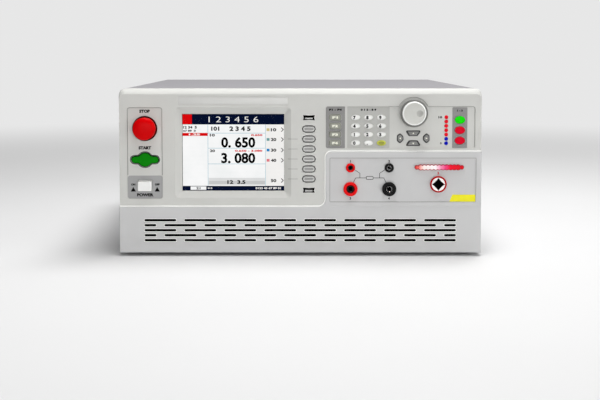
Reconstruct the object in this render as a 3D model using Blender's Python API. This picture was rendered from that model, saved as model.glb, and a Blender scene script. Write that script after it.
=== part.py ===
"""Bench electrical safety analyzer.

A moulded two-piece front with a sloped display frame, recessed key fields and a vented lower
moulding closes a sheet metal case. Every key is a cap with a hidden flange that seats behind the
front wall and slides into the panel. A fan with twisted blades and a finger guard sits at the rear.

Metres, +Z up, +X to the right seen from the front, the front faces -Y. Shapes are drawn on planes
parallel to the front, with y counted from the front face of the upper moulding, and each object is
then placed so that the model's origin is the middle of the surface that it stands on.
"""

import math

import bmesh
import bpy
from mathutils import Vector

# Overall sizes
WIDTH = 0.430
CASE_DEPTH = 0.450
FOOT_CLEARANCE = 0.004
VENT_STRIP_HEIGHT = 0.0562
KNOB_REACH = 0.011
GUARD_REACH = 0.005
GAP = 0.0003

# Steps down the column of switches, which set the height of the upper moulding
STOP_DROP = 0.047
START_DROP = 0.0369
POWER_DROP = 0.0314
POWER_RISE = 0.0235
UPPER_HEIGHT = STOP_DROP + START_DROP + POWER_DROP + POWER_RISE

# Steps across and down the key groups, which set the size of the terminal bay below them
FUNCTION_INSET = 0.0123
DATA_SPREAD = 0.0396
KNOB_SPREAD = 0.053
LAMP_SPREAD = 0.039
RESULT_SPREAD = 0.0161
RESULT_INSET = 0.0261
TERMINAL_BAY_WIDTH = (
    FUNCTION_INSET + DATA_SPREAD + KNOB_SPREAD + LAMP_SPREAD + RESULT_SPREAD + RESULT_INSET
)
KEY_ROW_COUNT = 4
KEY_ROW_PITCH = 0.0101
KEY_ROW_DROP = 0.0338
KEY_ROW_FOOT = 0.0089
KEY_BLOCK_HEIGHT = KEY_ROW_DROP + KEY_ROW_PITCH * (KEY_ROW_COUNT - 1) + KEY_ROW_FOOT
TERMINAL_BAY_HEIGHT = UPPER_HEIGHT - KEY_BLOCK_HEIGHT

# Mouldings
WALL = 0.003
MOULD_DEPTH = 0.022
CORNER_RADIUS = 0.007
TOP_FILLET = 0.0063
TOP_FLATNESS = 1.6
TOP_RELIEF = 0.003
SPLIT_RADIUS = 0.008
SPLIT_GAP = 0.0005
LOWER_PROUD = 0.0015
BEAD_RADIUS = 0.002
EDGE_BREAK = 0.0008
RECESS_DEPTH = 0.001
BOSS_DIAMETER = 0.006
BOSS_MARGIN = 0.009

# Places derived from the overall sizes
LEFT = -WIDTH / 2
RIGHT = WIDTH / 2
BOTTOM = FOOT_CLEARANCE
SPLIT_LOW = BOTTOM + VENT_STRIP_HEIGHT
SPLIT_HIGH = SPLIT_LOW + TERMINAL_BAY_HEIGHT
TOP = SPLIT_LOW + UPPER_HEIGHT
SPLIT_X = RIGHT - TERMINAL_BAY_WIDTH
FRONT_Y = (KNOB_REACH - CASE_DEPTH - GUARD_REACH) / 2

# Switch recess at the left, with the stop, start and power buttons
SWITCH_RECESS_WIDTH = 0.0418
SWITCH_RECESS_X = LEFT + 0.0309
SWITCH_RECESS_TOP = TOP - 0.0219
SWITCH_RECESS_BOTTOM = SPLIT_LOW + 0.0083
STOP_Z = TOP - STOP_DROP
STOP_DIAMETER = 0.0273
STOP_COLLAR = 0.0292
STOP_REACH = 0.011
STOP_TRAVEL = 0.003
START_Z = STOP_Z - START_DROP
START_SPAN = 0.0331
START_ARM = 0.0086
START_HUB = 0.0172
START_FILLET = 0.003
START_SINK = 0.0008
START_TRAVEL = 0.002
POWER_Z = SPLIT_LOW + POWER_RISE
POWER_WIDTH = 0.0162
POWER_HEIGHT = 0.0112
POWER_SLOT_WIDTH = 0.0174
POWER_SLOT_HEIGHT = 0.0134
POWER_SLOT_RISE = 0.0006
POWER_REACH = 0.0045
POWER_TRAVEL = 0.003

# Display and the plate recess above it, which take the room between the switches and the column of soft keys
SOFT_COLUMN_X = SPLIT_X - 0.0187
DISPLAY_LEFT = LEFT + 0.0664
DISPLAY_RIGHT = SOFT_COLUMN_X - 0.021
DISPLAY_TOP = TOP - 0.0217
DISPLAY_BOTTOM = SPLIT_LOW + 0.0090
DISPLAY_FRAME_WIDTH = DISPLAY_RIGHT - DISPLAY_LEFT
DISPLAY_FRAME_HEIGHT = DISPLAY_TOP - DISPLAY_BOTTOM
DISPLAY_X = (DISPLAY_LEFT + DISPLAY_RIGHT) / 2
DISPLAY_Z = (DISPLAY_TOP + DISPLAY_BOTTOM) / 2
DISPLAY_FRAME_RADIUS = 0.003
PLATE_RECESS_WIDTH = DISPLAY_FRAME_WIDTH - 0.0067
PLATE_RECESS_HEIGHT = 0.0097
PLATE_RECESS_DEPTH = 0.0005
PLATE_RECESS_Z = TOP - 0.0141
DISPLAY_SLOPE = 0.0082
SLOPE_DEPTH = 0.005
SURROUND_WALL = 0.003
SURROUND_DEPTH = 0.0065
WINDOW_THICKNESS = 0.0015
WINDOW_LAP = 0.004
MODULE_LAP = 0.006
MODULE_DEPTH = 0.0075

# Keys: a cap in a hole, and a flange behind the wall
KEY_PLAY = 0.0004
FLANGE_LAP = 0.0007
FLANGE_THICKNESS = 0.001
KEY_TRAVEL = 0.001
KEY_PROUD = 0.0006
KEY_EDGE = 0.0005

SOFT_KEY_COUNT = 6
SOFT_KEY_PITCH = 0.01188
SOFT_KEY_WIDTH = 0.0144
SOFT_KEY_HEIGHT = 0.0066
SOFT_KEY_GROOVE = 0.0011
SOFT_KEY_RIM = 0.0014
SOFT_KEY_DISH = 0.0005
SOFT_COLUMN_Z = DISPLAY_Z - 0.0014
USB_SPREAD = 0.0863
USB_WIDTH = 0.0145
USB_HEIGHT = 0.0066
USB_SHELL = 0.0008
USB_TONGUE = 0.0018
USB_TONGUE_DROP = 0.0009

KEY_FIELD_LEFT = SPLIT_X + 0.0011
KEY_FIELD_RIGHT = RIGHT - 0.008
KEY_FIELD_TOP = TOP - 0.0205
KEY_FIELD_BOTTOM = SPLIT_HIGH + 0.0024
KEY_FIELD_RADIUS = 0.003
KEY_ROW_TOP = TOP - KEY_ROW_DROP
FUNCTION_X = SPLIT_X + FUNCTION_INSET
FUNCTION_WIDTH = 0.0136
FUNCTION_HEIGHT = 0.0069
FUNCTION_RADIUS = 0.0015
DATA_X = FUNCTION_X + DATA_SPREAD
DATA_PITCH = 0.0153
DATA_WIDTH = 0.0104
DATA_HEIGHT = 0.0061
KNOB_X = DATA_X + KNOB_SPREAD
KNOB_Z = TOP - 0.0286
KNOB_DIAMETER = 0.028
KNOB_SKIRT = 0.0327
KNOB_FIELD_RADIUS = 0.0192
KNOB_SKIRT_REACH = 0.008
KNOB_DIMPLE = 0.0082
KNOB_DIMPLE_OFFSET = 0.0066
KNOB_SHAFT = 0.0072
ARROW_Z = TOP - 0.0585
ARROW_WIDE = 0.0182
ARROW_NARROW = 0.0101
ARROW_HEIGHT = 0.0061
ARROW_SPREAD = 0.0059
SIDE_ARROW_WIDTH = 0.0072
SIDE_ARROW_HEIGHT = 0.0118
SIDE_ARROW_SPREAD = 0.0154
LAMP_X = KNOB_X + LAMP_SPREAD
LAMP_COUNT = 7
LAMP_PITCH = 0.00515
LAMP_TOP = TOP - 0.0335
LAMP_DIAMETER = 0.0042
LAMP_STRIP_WIDTH = 0.008
RESULT_X = LAMP_X + RESULT_SPREAD
RESULT_TOP = TOP - 0.0367
RESULT_PITCH = 0.01225
RESULT_WIDTH = 0.0127
RESULT_HEIGHT = 0.0096

# Front circuit board behind the keys
BOARD_FRONT = 0.012
BOARD_THICKNESS = 0.0016
BOARD_MARGIN = 0.003
SWITCH_BLOCK = 0.005

# Vents in the lower moulding
VENT_ROWS = 5
VENT_ROW_PITCH = 0.006
VENT_MIDDLE = BOTTOM + 0.027
VENT_PITCH = 0.0475
VENT_LENGTH = 0.038
VENT_HEIGHT = 0.003
VENT_FULL_COUNT = int((WIDTH - VENT_LENGTH) / VENT_PITCH)

# Terminals in the lower moulding
BAY_RECESS_LEFT = SPLIT_X + 0.0065
BAY_RECESS_RIGHT = RIGHT - 0.0068
BAY_RECESS_TOP = SPLIT_HIGH - 0.0091
BAY_RECESS_BOTTOM = SPLIT_LOW + 0.005
BAY_RECESS_DEPTH = 0.0005
TERMINAL_RED_X = SPLIT_X + 0.0306
TERMINAL_BLACK_X = TERMINAL_RED_X + 0.0458
SENSE_Z = SPLIT_HIGH - 0.0204
DRIVE_Z = SPLIT_LOW + 0.0202
SENSE_DIAMETER = 0.011
SENSE_HOLE = 0.0044
DRIVE_DIAMETER = 0.0168
DRIVE_HOLE = 0.0061
TERMINAL_HOLE_DEPTH = 0.018
TERMINAL_LENGTH = 0.024
SENSE_REACH = 0.0022
DRIVE_REACH = 0.0035
NUT_THICKNESS = 0.003
HV_X = RIGHT - 0.0514
HV_Z = SPLIT_LOW + 0.0259
HV_DIAMETER = 0.0196
HV_INSERT = 0.0146
HV_STAR = 0.0139
HV_STAR_POWER = 0.86
HV_DEPTH = 0.014
HV_REACH = 0.003
HV_LENGTH = 0.026
STRIP_X = RIGHT - 0.0504
STRIP_Z = SPLIT_HIGH - 0.0198
STRIP_LOBES = 13
STRIP_LOBE_PITCH = 0.00445
STRIP_LOBE_RADIUS = 0.0035
STRIP_END_RADIUS = 0.0026
STRIP_REACH = 0.002

# Sheet metal case
SHEET = 0.0012
PLATE = 0.002
TRAY_LIFT = 0.0013
TRAY_FLANGE = 0.015
FOOT_DIAMETER = 0.018
FOOT_INSET_X = 0.035
FOOT_INSET_FRONT = 0.060
FOOT_INSET_REAR = 0.040

# Fan, finger guard and mains inlet at the rear
FAN_SIZE = 0.080
FAN_DEPTH = 0.025
FAN_BORE = FAN_SIZE - 0.004
FAN_HUB = FAN_SIZE * 0.45
FAN_BLADES = 7
FAN_TIP_PLAY = 0.001
FAN_SPIDER = 0.003
BLADE_THICKNESS = 0.0009
BLADE_PITCH = 52
BLADE_TWIST = 20
BLADE_SWEEP = 10
BLADE_CAMBER = 0.08
BLADE_FILL = 0.92
BLADE_TAPER = 0.18
FAN_INSET = 0.120
FAN_RISE = 0.105
FAN_X = LEFT + FAN_INSET
FAN_Z = BOTTOM + FAN_RISE
GUARD_SLOT_ROWS = 4
GUARD_RIB = 0.0025
GUARD_HUB_RADIUS = 0.0055
GUARD_ROW = (FAN_SIZE / 2 - GUARD_RIB - GUARD_HUB_RADIUS) / GUARD_SLOT_ROWS
GUARD_SECTORS = 4
INLET_INSET = 0.080
INLET_RISE = 0.045
INLET_X = RIGHT - INLET_INSET
INLET_Z = BOTTOM + INLET_RISE
INLET_FLANGE_WIDTH = 0.050
INLET_FLANGE_HEIGHT = 0.0235
INLET_FLANGE_THICKNESS = 0.0032
INLET_BODY_WIDTH = 0.0285
INLET_BODY_HEIGHT = 0.0205
INLET_CAVITY_WIDTH = 0.0245
INLET_CAVITY_HEIGHT = 0.0165
INLET_CAVITY_DEPTH = 0.016
INLET_CHAMFER = 0.0045
INLET_PIN_SPACING = 0.007
INLET_PIN_DROP = 0.002
INLET_PIN_RISE = 0.002
INLET_PIN_SIZE = 0.002
INLET_PIN_HEIGHT = 0.004
INLET_PIN_LENGTH = 0.011

# Inside: main board, its standoffs and the high voltage transformer
STANDOFF_HEIGHT = 0.008
STANDOFF_DIAMETER = 0.007
CORE_WIDTH = 0.084
TRANSFORMER_INSET = 0.085
TRANSFORMER_SHIFT = 0.010
TRANSFORMER_ROOM = 0.038
TRANSFORMER_X = RIGHT - TRANSFORMER_INSET
MAIN_BOARD_INSET = 0.035
MAIN_BOARD_LEFT = LEFT + MAIN_BOARD_INSET
MAIN_BOARD_RIGHT = TRANSFORMER_X - CORE_WIDTH / 2 - TRANSFORMER_ROOM
MAIN_BOARD_FRONT = 0.070
MAIN_BOARD_TAIL = 0.120
MAIN_BOARD_REAR = CASE_DEPTH - MAIN_BOARD_TAIL
MAIN_BOARD_MARGIN = 0.010
TRANSFORMER_Y = (MAIN_BOARD_FRONT + MAIN_BOARD_REAR) / 2 - TRANSFORMER_SHIFT
CORE_LENGTH = 0.044
CORE_HEIGHT = 0.070
COIL_WIDTH = 0.052
COIL_BULGE = 0.018
COIL_LIFT = 0.012
PART_INSET = 0.020
RELAY_WIDTH = 0.020
RELAY_LENGTH = 0.016
RELAY_HEIGHT = 0.015
RELAY_PITCH = 0.032
CAPACITOR_COUNT = 3
CAPACITOR_DIAMETER = 0.025
CAPACITOR_HEIGHT = 0.034
CAPACITOR_PITCH = 0.034
SINK_WIDTH = 0.060
SINK_LENGTH = 0.080
SINK_BASE = 0.006
SINK_HEIGHT = 0.035
FIN_COUNT = 7
FIN_THICKNESS = 0.0018

FINISHES = {
    "moulding_grey": ((0.560, 0.560, 0.535), 0.55, 0.0),
    "lower_moulding_grey": ((0.535, 0.535, 0.530), 0.55, 0.0),
    "cover_paint": ((0.490, 0.480, 0.500), 0.50, 0.0),
    "galvanised_sheet": ((0.550, 0.560, 0.570), 0.45, 0.9),
    "stop_red": ((0.580, 0.004, 0.005), 0.25, 0.0),
    "start_green": ((0.005, 0.220, 0.010), 0.30, 0.0),
    "power_white": ((0.870, 0.870, 0.860), 0.35, 0.0),
    "soft_key_grey": ((0.445, 0.445, 0.440), 0.60, 0.0),
    "function_key_grey": ((0.285, 0.285, 0.250), 0.60, 0.0),
    "digit_key_white": ((0.820, 0.820, 0.800), 0.45, 0.0),
    "enter_key_yellow": ((0.560, 0.620, 0.080), 0.50, 0.0),
    "arrow_key_grey": ((0.160, 0.160, 0.160), 0.50, 0.0),
    "knob_grey": ((0.580, 0.580, 0.540), 0.35, 0.0),
    "key_green": ((0.030, 0.650, 0.010), 0.30, 0.0),
    "key_red": ((0.700, 0.002, 0.020), 0.30, 0.0),
    "lamp_red": ((0.650, 0.004, 0.015), 0.20, 0.0),
    "window_clear": ((0.900, 0.920, 0.930), 0.08, 0.0),
    "module_black": ((0.020, 0.022, 0.026), 0.40, 0.0),
    "board_green": ((0.015, 0.130, 0.050), 0.50, 0.0),
    "port_black": ((0.012, 0.012, 0.013), 0.40, 0.0),
    "terminal_red": ((0.750, 0.010, 0.012), 0.25, 0.0),
    "terminal_black": ((0.010, 0.010, 0.010), 0.25, 0.0),
    "insulator_white": ((0.850, 0.840, 0.820), 0.40, 0.0),
    "strip_lens": ((0.800, 0.150, 0.160), 0.20, 0.0),
    "fan_black": ((0.018, 0.018, 0.019), 0.50, 0.0),
    "rubber_black": ((0.020, 0.020, 0.020), 0.85, 0.0),
    "core_steel": ((0.300, 0.300, 0.300), 0.50, 0.8),
}


def make_finish(name):
    """Returns the Principled material of a finish, made once and shared."""
    finish = bpy.data.materials.get(name)
    if finish is None:
        colour, roughness, metallic = FINISHES[name]
        finish = bpy.data.materials.new(name)
        finish.use_nodes = True
        shader = finish.node_tree.nodes["Principled BSDF"]
        shader.inputs["Base Color"].default_value = (*colour, 1.0)
        shader.inputs["Roughness"].default_value = roughness
        shader.inputs["Metallic"].default_value = metallic
    return finish


# Outlines: each returns a function of inset that gives (x, z) points, anticlockwise from the front


def arc(centre, radius, start, stop, steps):
    """Points along an arc, angles in degrees, both ends included."""
    angles = [math.radians(start + (stop - start) * step / steps) for step in range(steps + 1)]
    return [(centre[0] + radius * math.cos(a), centre[1] + radius * math.sin(a)) for a in angles]


def polygon(corners, steps=4):
    """A polygon with rounded corners, each given as (x, z, radius).

    The inset is one distance for all sides, or a list with one for each side, counted from the
    side that leaves the first corner.
    """

    def outline(inset=0.0):
        count = len(corners)
        insets = list(inset) if isinstance(inset, (list, tuple)) else [inset] * count
        sides = []
        for index, corner in enumerate(corners):
            start = Vector(corner[:2])
            along = (Vector(corners[(index + 1) % count][:2]) - start).normalized()
            inward = Vector((-along.y, along.x))
            sides.append((start + inward * insets[index], along, inward))
        points = []
        for index, corner in enumerate(corners):
            before, way_in, inward = sides[index - 1]
            after, way_out, _ = sides[index]
            turn = way_in.cross(way_out)
            tip = before + way_in * ((after - before).cross(way_out) / turn)
            if not corner[2]:
                points.append((tip.x, tip.y))
                continue
            bend = math.copysign(1.0, turn)
            radius = max(corner[2] - bend * min(insets[index - 1], insets[index]), KEY_EDGE / 2)
            angle = math.acos(max(-1.0, min(1.0, way_in.dot(way_out))))
            centre = tip - way_in * (radius * math.tan(angle / 2)) + inward * (bend * radius)
            first = math.degrees(math.atan2(-bend * inward.y, -bend * inward.x))
            points += arc(centre, radius, first, first + bend * math.degrees(angle), steps)
        return points

    return outline


def box(width, height, radius=0.0, steps=3):
    """A rectangle round the origin."""
    x, z = width / 2, height / 2
    return polygon([(-x, -z, radius), (x, -z, radius), (x, z, radius), (-x, z, radius)], steps)


def span(left, right, low, high, radius=0.0, steps=3):
    """A rectangle given by its four sides."""
    corners = [(left, low, radius), (right, low, radius), (right, high, radius), (left, high, radius)]
    return polygon(corners, steps)


def oval(width, height, steps=12):
    """An ellipse round the origin."""

    def outline(inset=0.0):
        angles = [2 * math.pi * step / steps for step in range(steps)]
        return [((width / 2 - inset) * math.cos(a), (height / 2 - inset) * math.sin(a)) for a in angles]

    return outline


def disc(diameter, steps=18):
    """A circle round the origin."""
    return oval(diameter, diameter, steps)


def stadium(width, height, steps=4):
    """A bar with half round ends."""

    def outline(inset=0.0):
        radius = height / 2 - inset
        reach = (width - height) / 2
        return arc((reach, 0), radius, -90, 90, steps) + arc((-reach, 0), radius, 90, 270, steps)

    return outline


def winged(length, arm, hub, fillet, steps=3):
    """A bar with round ends through a round hub, blended by concave fillets."""

    def outline(inset=0.0):
        half, radius, blend = arm / 2 - inset, hub / 2 - inset, fillet + inset
        reach = length / 2 - arm / 2
        blend_x = math.sqrt((radius + blend) ** 2 - (half + blend) ** 2)
        lean = math.degrees(math.atan2(half + blend, blend_x))
        end = arc((reach, 0), half, -90, 90, 2 * steps)
        dip = arc((blend_x, half + blend), blend, 270, 180 + lean, steps)
        crown = arc((0, 0), radius, lean, 180 - lean, 2 * steps)[1:-1]
        upper = end + dip + crown + [(-x, z) for x, z in reversed(dip)]
        left_end = arc((-reach, 0), half, 90, 270, 2 * steps)
        lower = [(-x, -z) for x, z in dip + crown] + [(x, -z) for x, z in reversed(dip)]
        return upper + left_end + lower

    return outline


def star(span_across, power, steps=16):
    """A four-pointed star with hollow sides."""

    def outline(inset=0.0):
        reach = span_across / 2 - inset
        points = []
        for step in range(steps):
            a = 2 * math.pi * step / steps
            x, z = math.cos(a), math.sin(a)
            points.append(
                tuple(reach * math.copysign(abs(side) ** (2 / power), side) for side in (x, z))
            )
        return points

    return outline


def lobed_bar(count, pitch, radius, end_radius, steps=2):
    """A row of overlapping discs, the end ones smaller, as one scalloped bar."""

    def outline(inset=0.0):
        centres = [pitch * (index - (count - 1) / 2) for index in range(count)]
        radii = [end_radius - inset] + [radius - inset] * (count - 2) + [end_radius - inset]
        upper = []
        for index in reversed(range(count)):
            start, stop = 0.0, 180.0
            if index < count - 1:
                cross = (pitch**2 + radii[index] ** 2 - radii[index + 1] ** 2) / (2 * pitch)
                start = math.degrees(math.acos(cross / radii[index]))
            if index > 0:
                cross = (pitch**2 + radii[index] ** 2 - radii[index - 1] ** 2) / (2 * pitch)
                stop = 180 - math.degrees(math.acos(cross / radii[index]))
            lobe = arc((centres[index], 0), radii[index], start, stop, steps)
            upper += lobe if index == count - 1 else lobe[1:]
        return upper + [(x, -z) for x, z in reversed(upper[1:-1])]

    return outline


# Bodies and objects


def add_body(mesh, outline, stations, centre=(0.0, 0.0)):
    """Adds a closed body through an outline drawn at each (y, inset) station."""
    rings = []
    for y, inset in stations:
        rings.append([mesh.verts.new((x + centre[0], y, z + centre[1])) for x, z in outline(inset)])
    close_rings(mesh, rings)


def close_rings(mesh, rings):
    """Joins rings of vertices into a closed body with flat ends."""
    for near, far in zip(rings, rings[1:]):
        for index in range(len(near)):
            after = (index + 1) % len(near)
            mesh.faces.new((near[index], near[after], far[after], far[index]))
    mesh.faces.new(list(reversed(rings[0])))
    mesh.faces.new(rings[-1])


def add_box(mesh, x, y, z):
    """Adds a box given by its (low, high) limits along each axis."""
    add_body(mesh, span(x[0], x[1], z[0], z[1]), [(y[0], 0.0), (y[1], 0.0)])


def add_post(mesh, x, y, low, high, diameter, steps=14):
    """Adds an upright round post."""
    rings = []
    for z in (low, high):
        points = arc((x, y), diameter / 2, 0, 360, steps)[:-1]
        rings.append([mesh.verts.new((px, py, z)) for px, py in points])
    close_rings(mesh, rings)


def make_object(name, mesh, finish, x=0.0, z=0.0):
    """Turns the built bodies into an object whose origin is at (x, z) on the front plane."""
    bmesh.ops.recalc_face_normals(mesh, faces=mesh.faces)
    data = bpy.data.meshes.new(name)
    mesh.to_mesh(data)
    mesh.free()
    data.shade_smooth()
    data.set_sharp_from_angle(angle=math.radians(30))
    obj = bpy.data.objects.new(name, data)
    obj.location = (x, FRONT_Y, z)
    bpy.context.scene.collection.objects.link(obj)
    if finish:
        data.materials.append(make_finish(finish))
    return obj


def solid(name, finish, outline, stations, x=0.0, z=0.0):
    """Makes an object of one body."""
    mesh = bmesh.new()
    add_body(mesh, outline, stations)
    return make_object(name, mesh, finish, x, z)


def combine(target, mesh, operation, x=0.0, z=0.0):
    """Joins the built bodies to the target, or cuts them from it, with a Boolean."""
    label = f"{target.name}_{operation.lower()}_{len(target.modifiers)}"
    tool = make_object(label, mesh, None, x, z)
    tool.hide_render = True
    tool.display_type = "WIRE"
    modifier = target.modifiers.new(label, "BOOLEAN")
    modifier.operation = operation
    modifier.solver = "EXACT"
    modifier.object = tool


def cut(target, bodies, x=0.0, z=0.0):
    """Cuts bodies from the target, each given as (outline, stations, centre)."""
    mesh = bmesh.new()
    for outline, stations, centre in bodies:
        add_body(mesh, outline, stations, centre)
    combine(target, mesh, "DIFFERENCE", x, z)


def join(target, bodies, x=0.0, z=0.0):
    """Joins bodies to the target, each given as (outline, stations, centre)."""
    mesh = bmesh.new()
    for outline, stations, centre in bodies:
        add_body(mesh, outline, stations, centre)
    combine(target, mesh, "UNION", x, z)


# Layout of the keys: name, centre, outline, travel


def arrow_outline(up):
    """A key that narrows towards the middle of the arrow group."""
    low = ARROW_NARROW / 2 if up else ARROW_WIDE / 2
    high = ARROW_WIDE / 2 if up else ARROW_NARROW / 2
    z = ARROW_HEIGHT / 2
    radius = ARROW_HEIGHT / 6
    return polygon([(-low, -z, radius), (low, -z, radius), (high, z, radius), (-high, z, radius)], 2)


def side_arrow_outline(side):
    """A key with a straight outer side and a bulged side towards the middle."""
    x, z = SIDE_ARROW_WIDTH / 2, SIDE_ARROW_HEIGHT / 2
    corners = [
        (-x, -z * 0.5, x * 0.35),
        (-x * 0.1, -z, x * 0.35),
        (x, -z * 0.35, x * 0.7),
        (x, z * 0.35, x * 0.7),
        (-x * 0.1, z, x * 0.35),
        (-x, z * 0.5, x * 0.35),
    ]
    if side > 0:
        corners = [(-cx, cz, radius) for cx, cz, radius in reversed(corners)]
    return polygon(corners, 2)


def key_layout():
    """Places every small key: (name, finish, x, z, outline, play in its hole)."""
    keys = []
    for index in range(SOFT_KEY_COUNT):
        z = SOFT_COLUMN_Z + SOFT_KEY_PITCH * ((SOFT_KEY_COUNT - 1) / 2 - index)
        shape = stadium(SOFT_KEY_WIDTH, SOFT_KEY_HEIGHT)
        name = f"soft_key_{index + 1}"
        keys.append((name, "soft_key_grey", SOFT_COLUMN_X, z, shape, SOFT_KEY_GROOVE))
    for row in range(KEY_ROW_COUNT):
        z = KEY_ROW_TOP - KEY_ROW_PITCH * row
        shape = box(FUNCTION_WIDTH, FUNCTION_HEIGHT, FUNCTION_RADIUS, 2)
        keys.append((f"function_key_{row + 1}", "function_key_grey", FUNCTION_X, z, shape, KEY_PLAY))
        for column in range(3):
            x = DATA_X + DATA_PITCH * (column - 1)
            enter = row == KEY_ROW_COUNT - 1 and column == 2
            finish = "enter_key_yellow" if enter else "digit_key_white"
            name = "enter_key" if enter else f"data_key_{3 * row + column + 1}"
            keys.append((name, finish, x, z, oval(DATA_WIDTH, DATA_HEIGHT), KEY_PLAY))
    for name, sign in (("arrow_key_up", 1), ("arrow_key_down", -1)):
        z = ARROW_Z + sign * ARROW_SPREAD
        keys.append((name, "arrow_key_grey", KNOB_X, z, arrow_outline(sign > 0), KEY_PLAY))
    for name, sign in (("arrow_key_left", -1), ("arrow_key_right", 1)):
        x = KNOB_X + sign * SIDE_ARROW_SPREAD
        keys.append((name, "arrow_key_grey", x, ARROW_Z, side_arrow_outline(sign), KEY_PLAY))
    for index, finish in enumerate(("key_green", "key_red", "key_red")):
        z = RESULT_TOP - RESULT_PITCH * index
        shape = oval(RESULT_WIDTH, RESULT_HEIGHT, 16)
        keys.append((f"result_key_{index + 1}", finish, RESULT_X, z, shape, KEY_PLAY))
    return keys


def switch_layout():
    """Places the three large buttons: (name, x, z, outline, travel)."""
    start = winged(START_SPAN, START_ARM, START_HUB, START_FILLET)
    power = box(POWER_WIDTH, POWER_HEIGHT, 2 * KEY_EDGE)
    return [
        ("stop_button", SWITCH_RECESS_X, STOP_Z, disc(STOP_COLLAR, 28), STOP_TRAVEL),
        ("start_button", SWITCH_RECESS_X, START_Z, start, START_TRAVEL),
        ("power_button", SWITCH_RECESS_X, POWER_Z, power, POWER_TRAVEL),
    ]


def lamp_heights():
    """Heights of the lamps in the column, from the top."""
    return [LAMP_TOP - LAMP_PITCH * index for index in range(LAMP_COUNT)]


def usb_heights():
    """Heights of the upper and the lower port, beyond the soft keys."""
    return [SOFT_COLUMN_Z + USB_SPREAD / 2, SOFT_COLUMN_Z - USB_SPREAD / 2]


def boss_places():
    """Places of the bosses that carry the front board."""
    high, low = TOP - BOSS_MARGIN - WALL, SPLIT_LOW + BOSS_MARGIN
    return [
        (LEFT + BOSS_MARGIN, high),
        (SPLIT_X - BOSS_MARGIN, high),
        (RIGHT - BOSS_MARGIN, high),
        (LEFT + BOSS_MARGIN, low),
        (SPLIT_X - BOSS_MARGIN, low),
        (RIGHT - BOSS_MARGIN, SPLIT_HIGH + BOSS_MARGIN),
    ]


# Front mouldings


def quarter(steps, flatness=1.0):
    """Steps of a quarter round: how far back and how far in, as shares of its radius.

    A flatness of 1 gives a round, and a greater one comes nearer to a chamfer.
    """
    angles = [math.pi / 2 * step / steps for step in range(steps)]
    sides = [(math.cos(a) ** flatness, math.sin(a) ** flatness) for a in angles] + [(0.0, 1.0)]
    return [(1 - back, 1 - drop) for back, drop in sides]


def through_wall(play):
    """Stations of a hole through the front wall, wider than its piece by the play all round."""
    return [(-WALL, -play), (2 * WALL, -play)]


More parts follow.
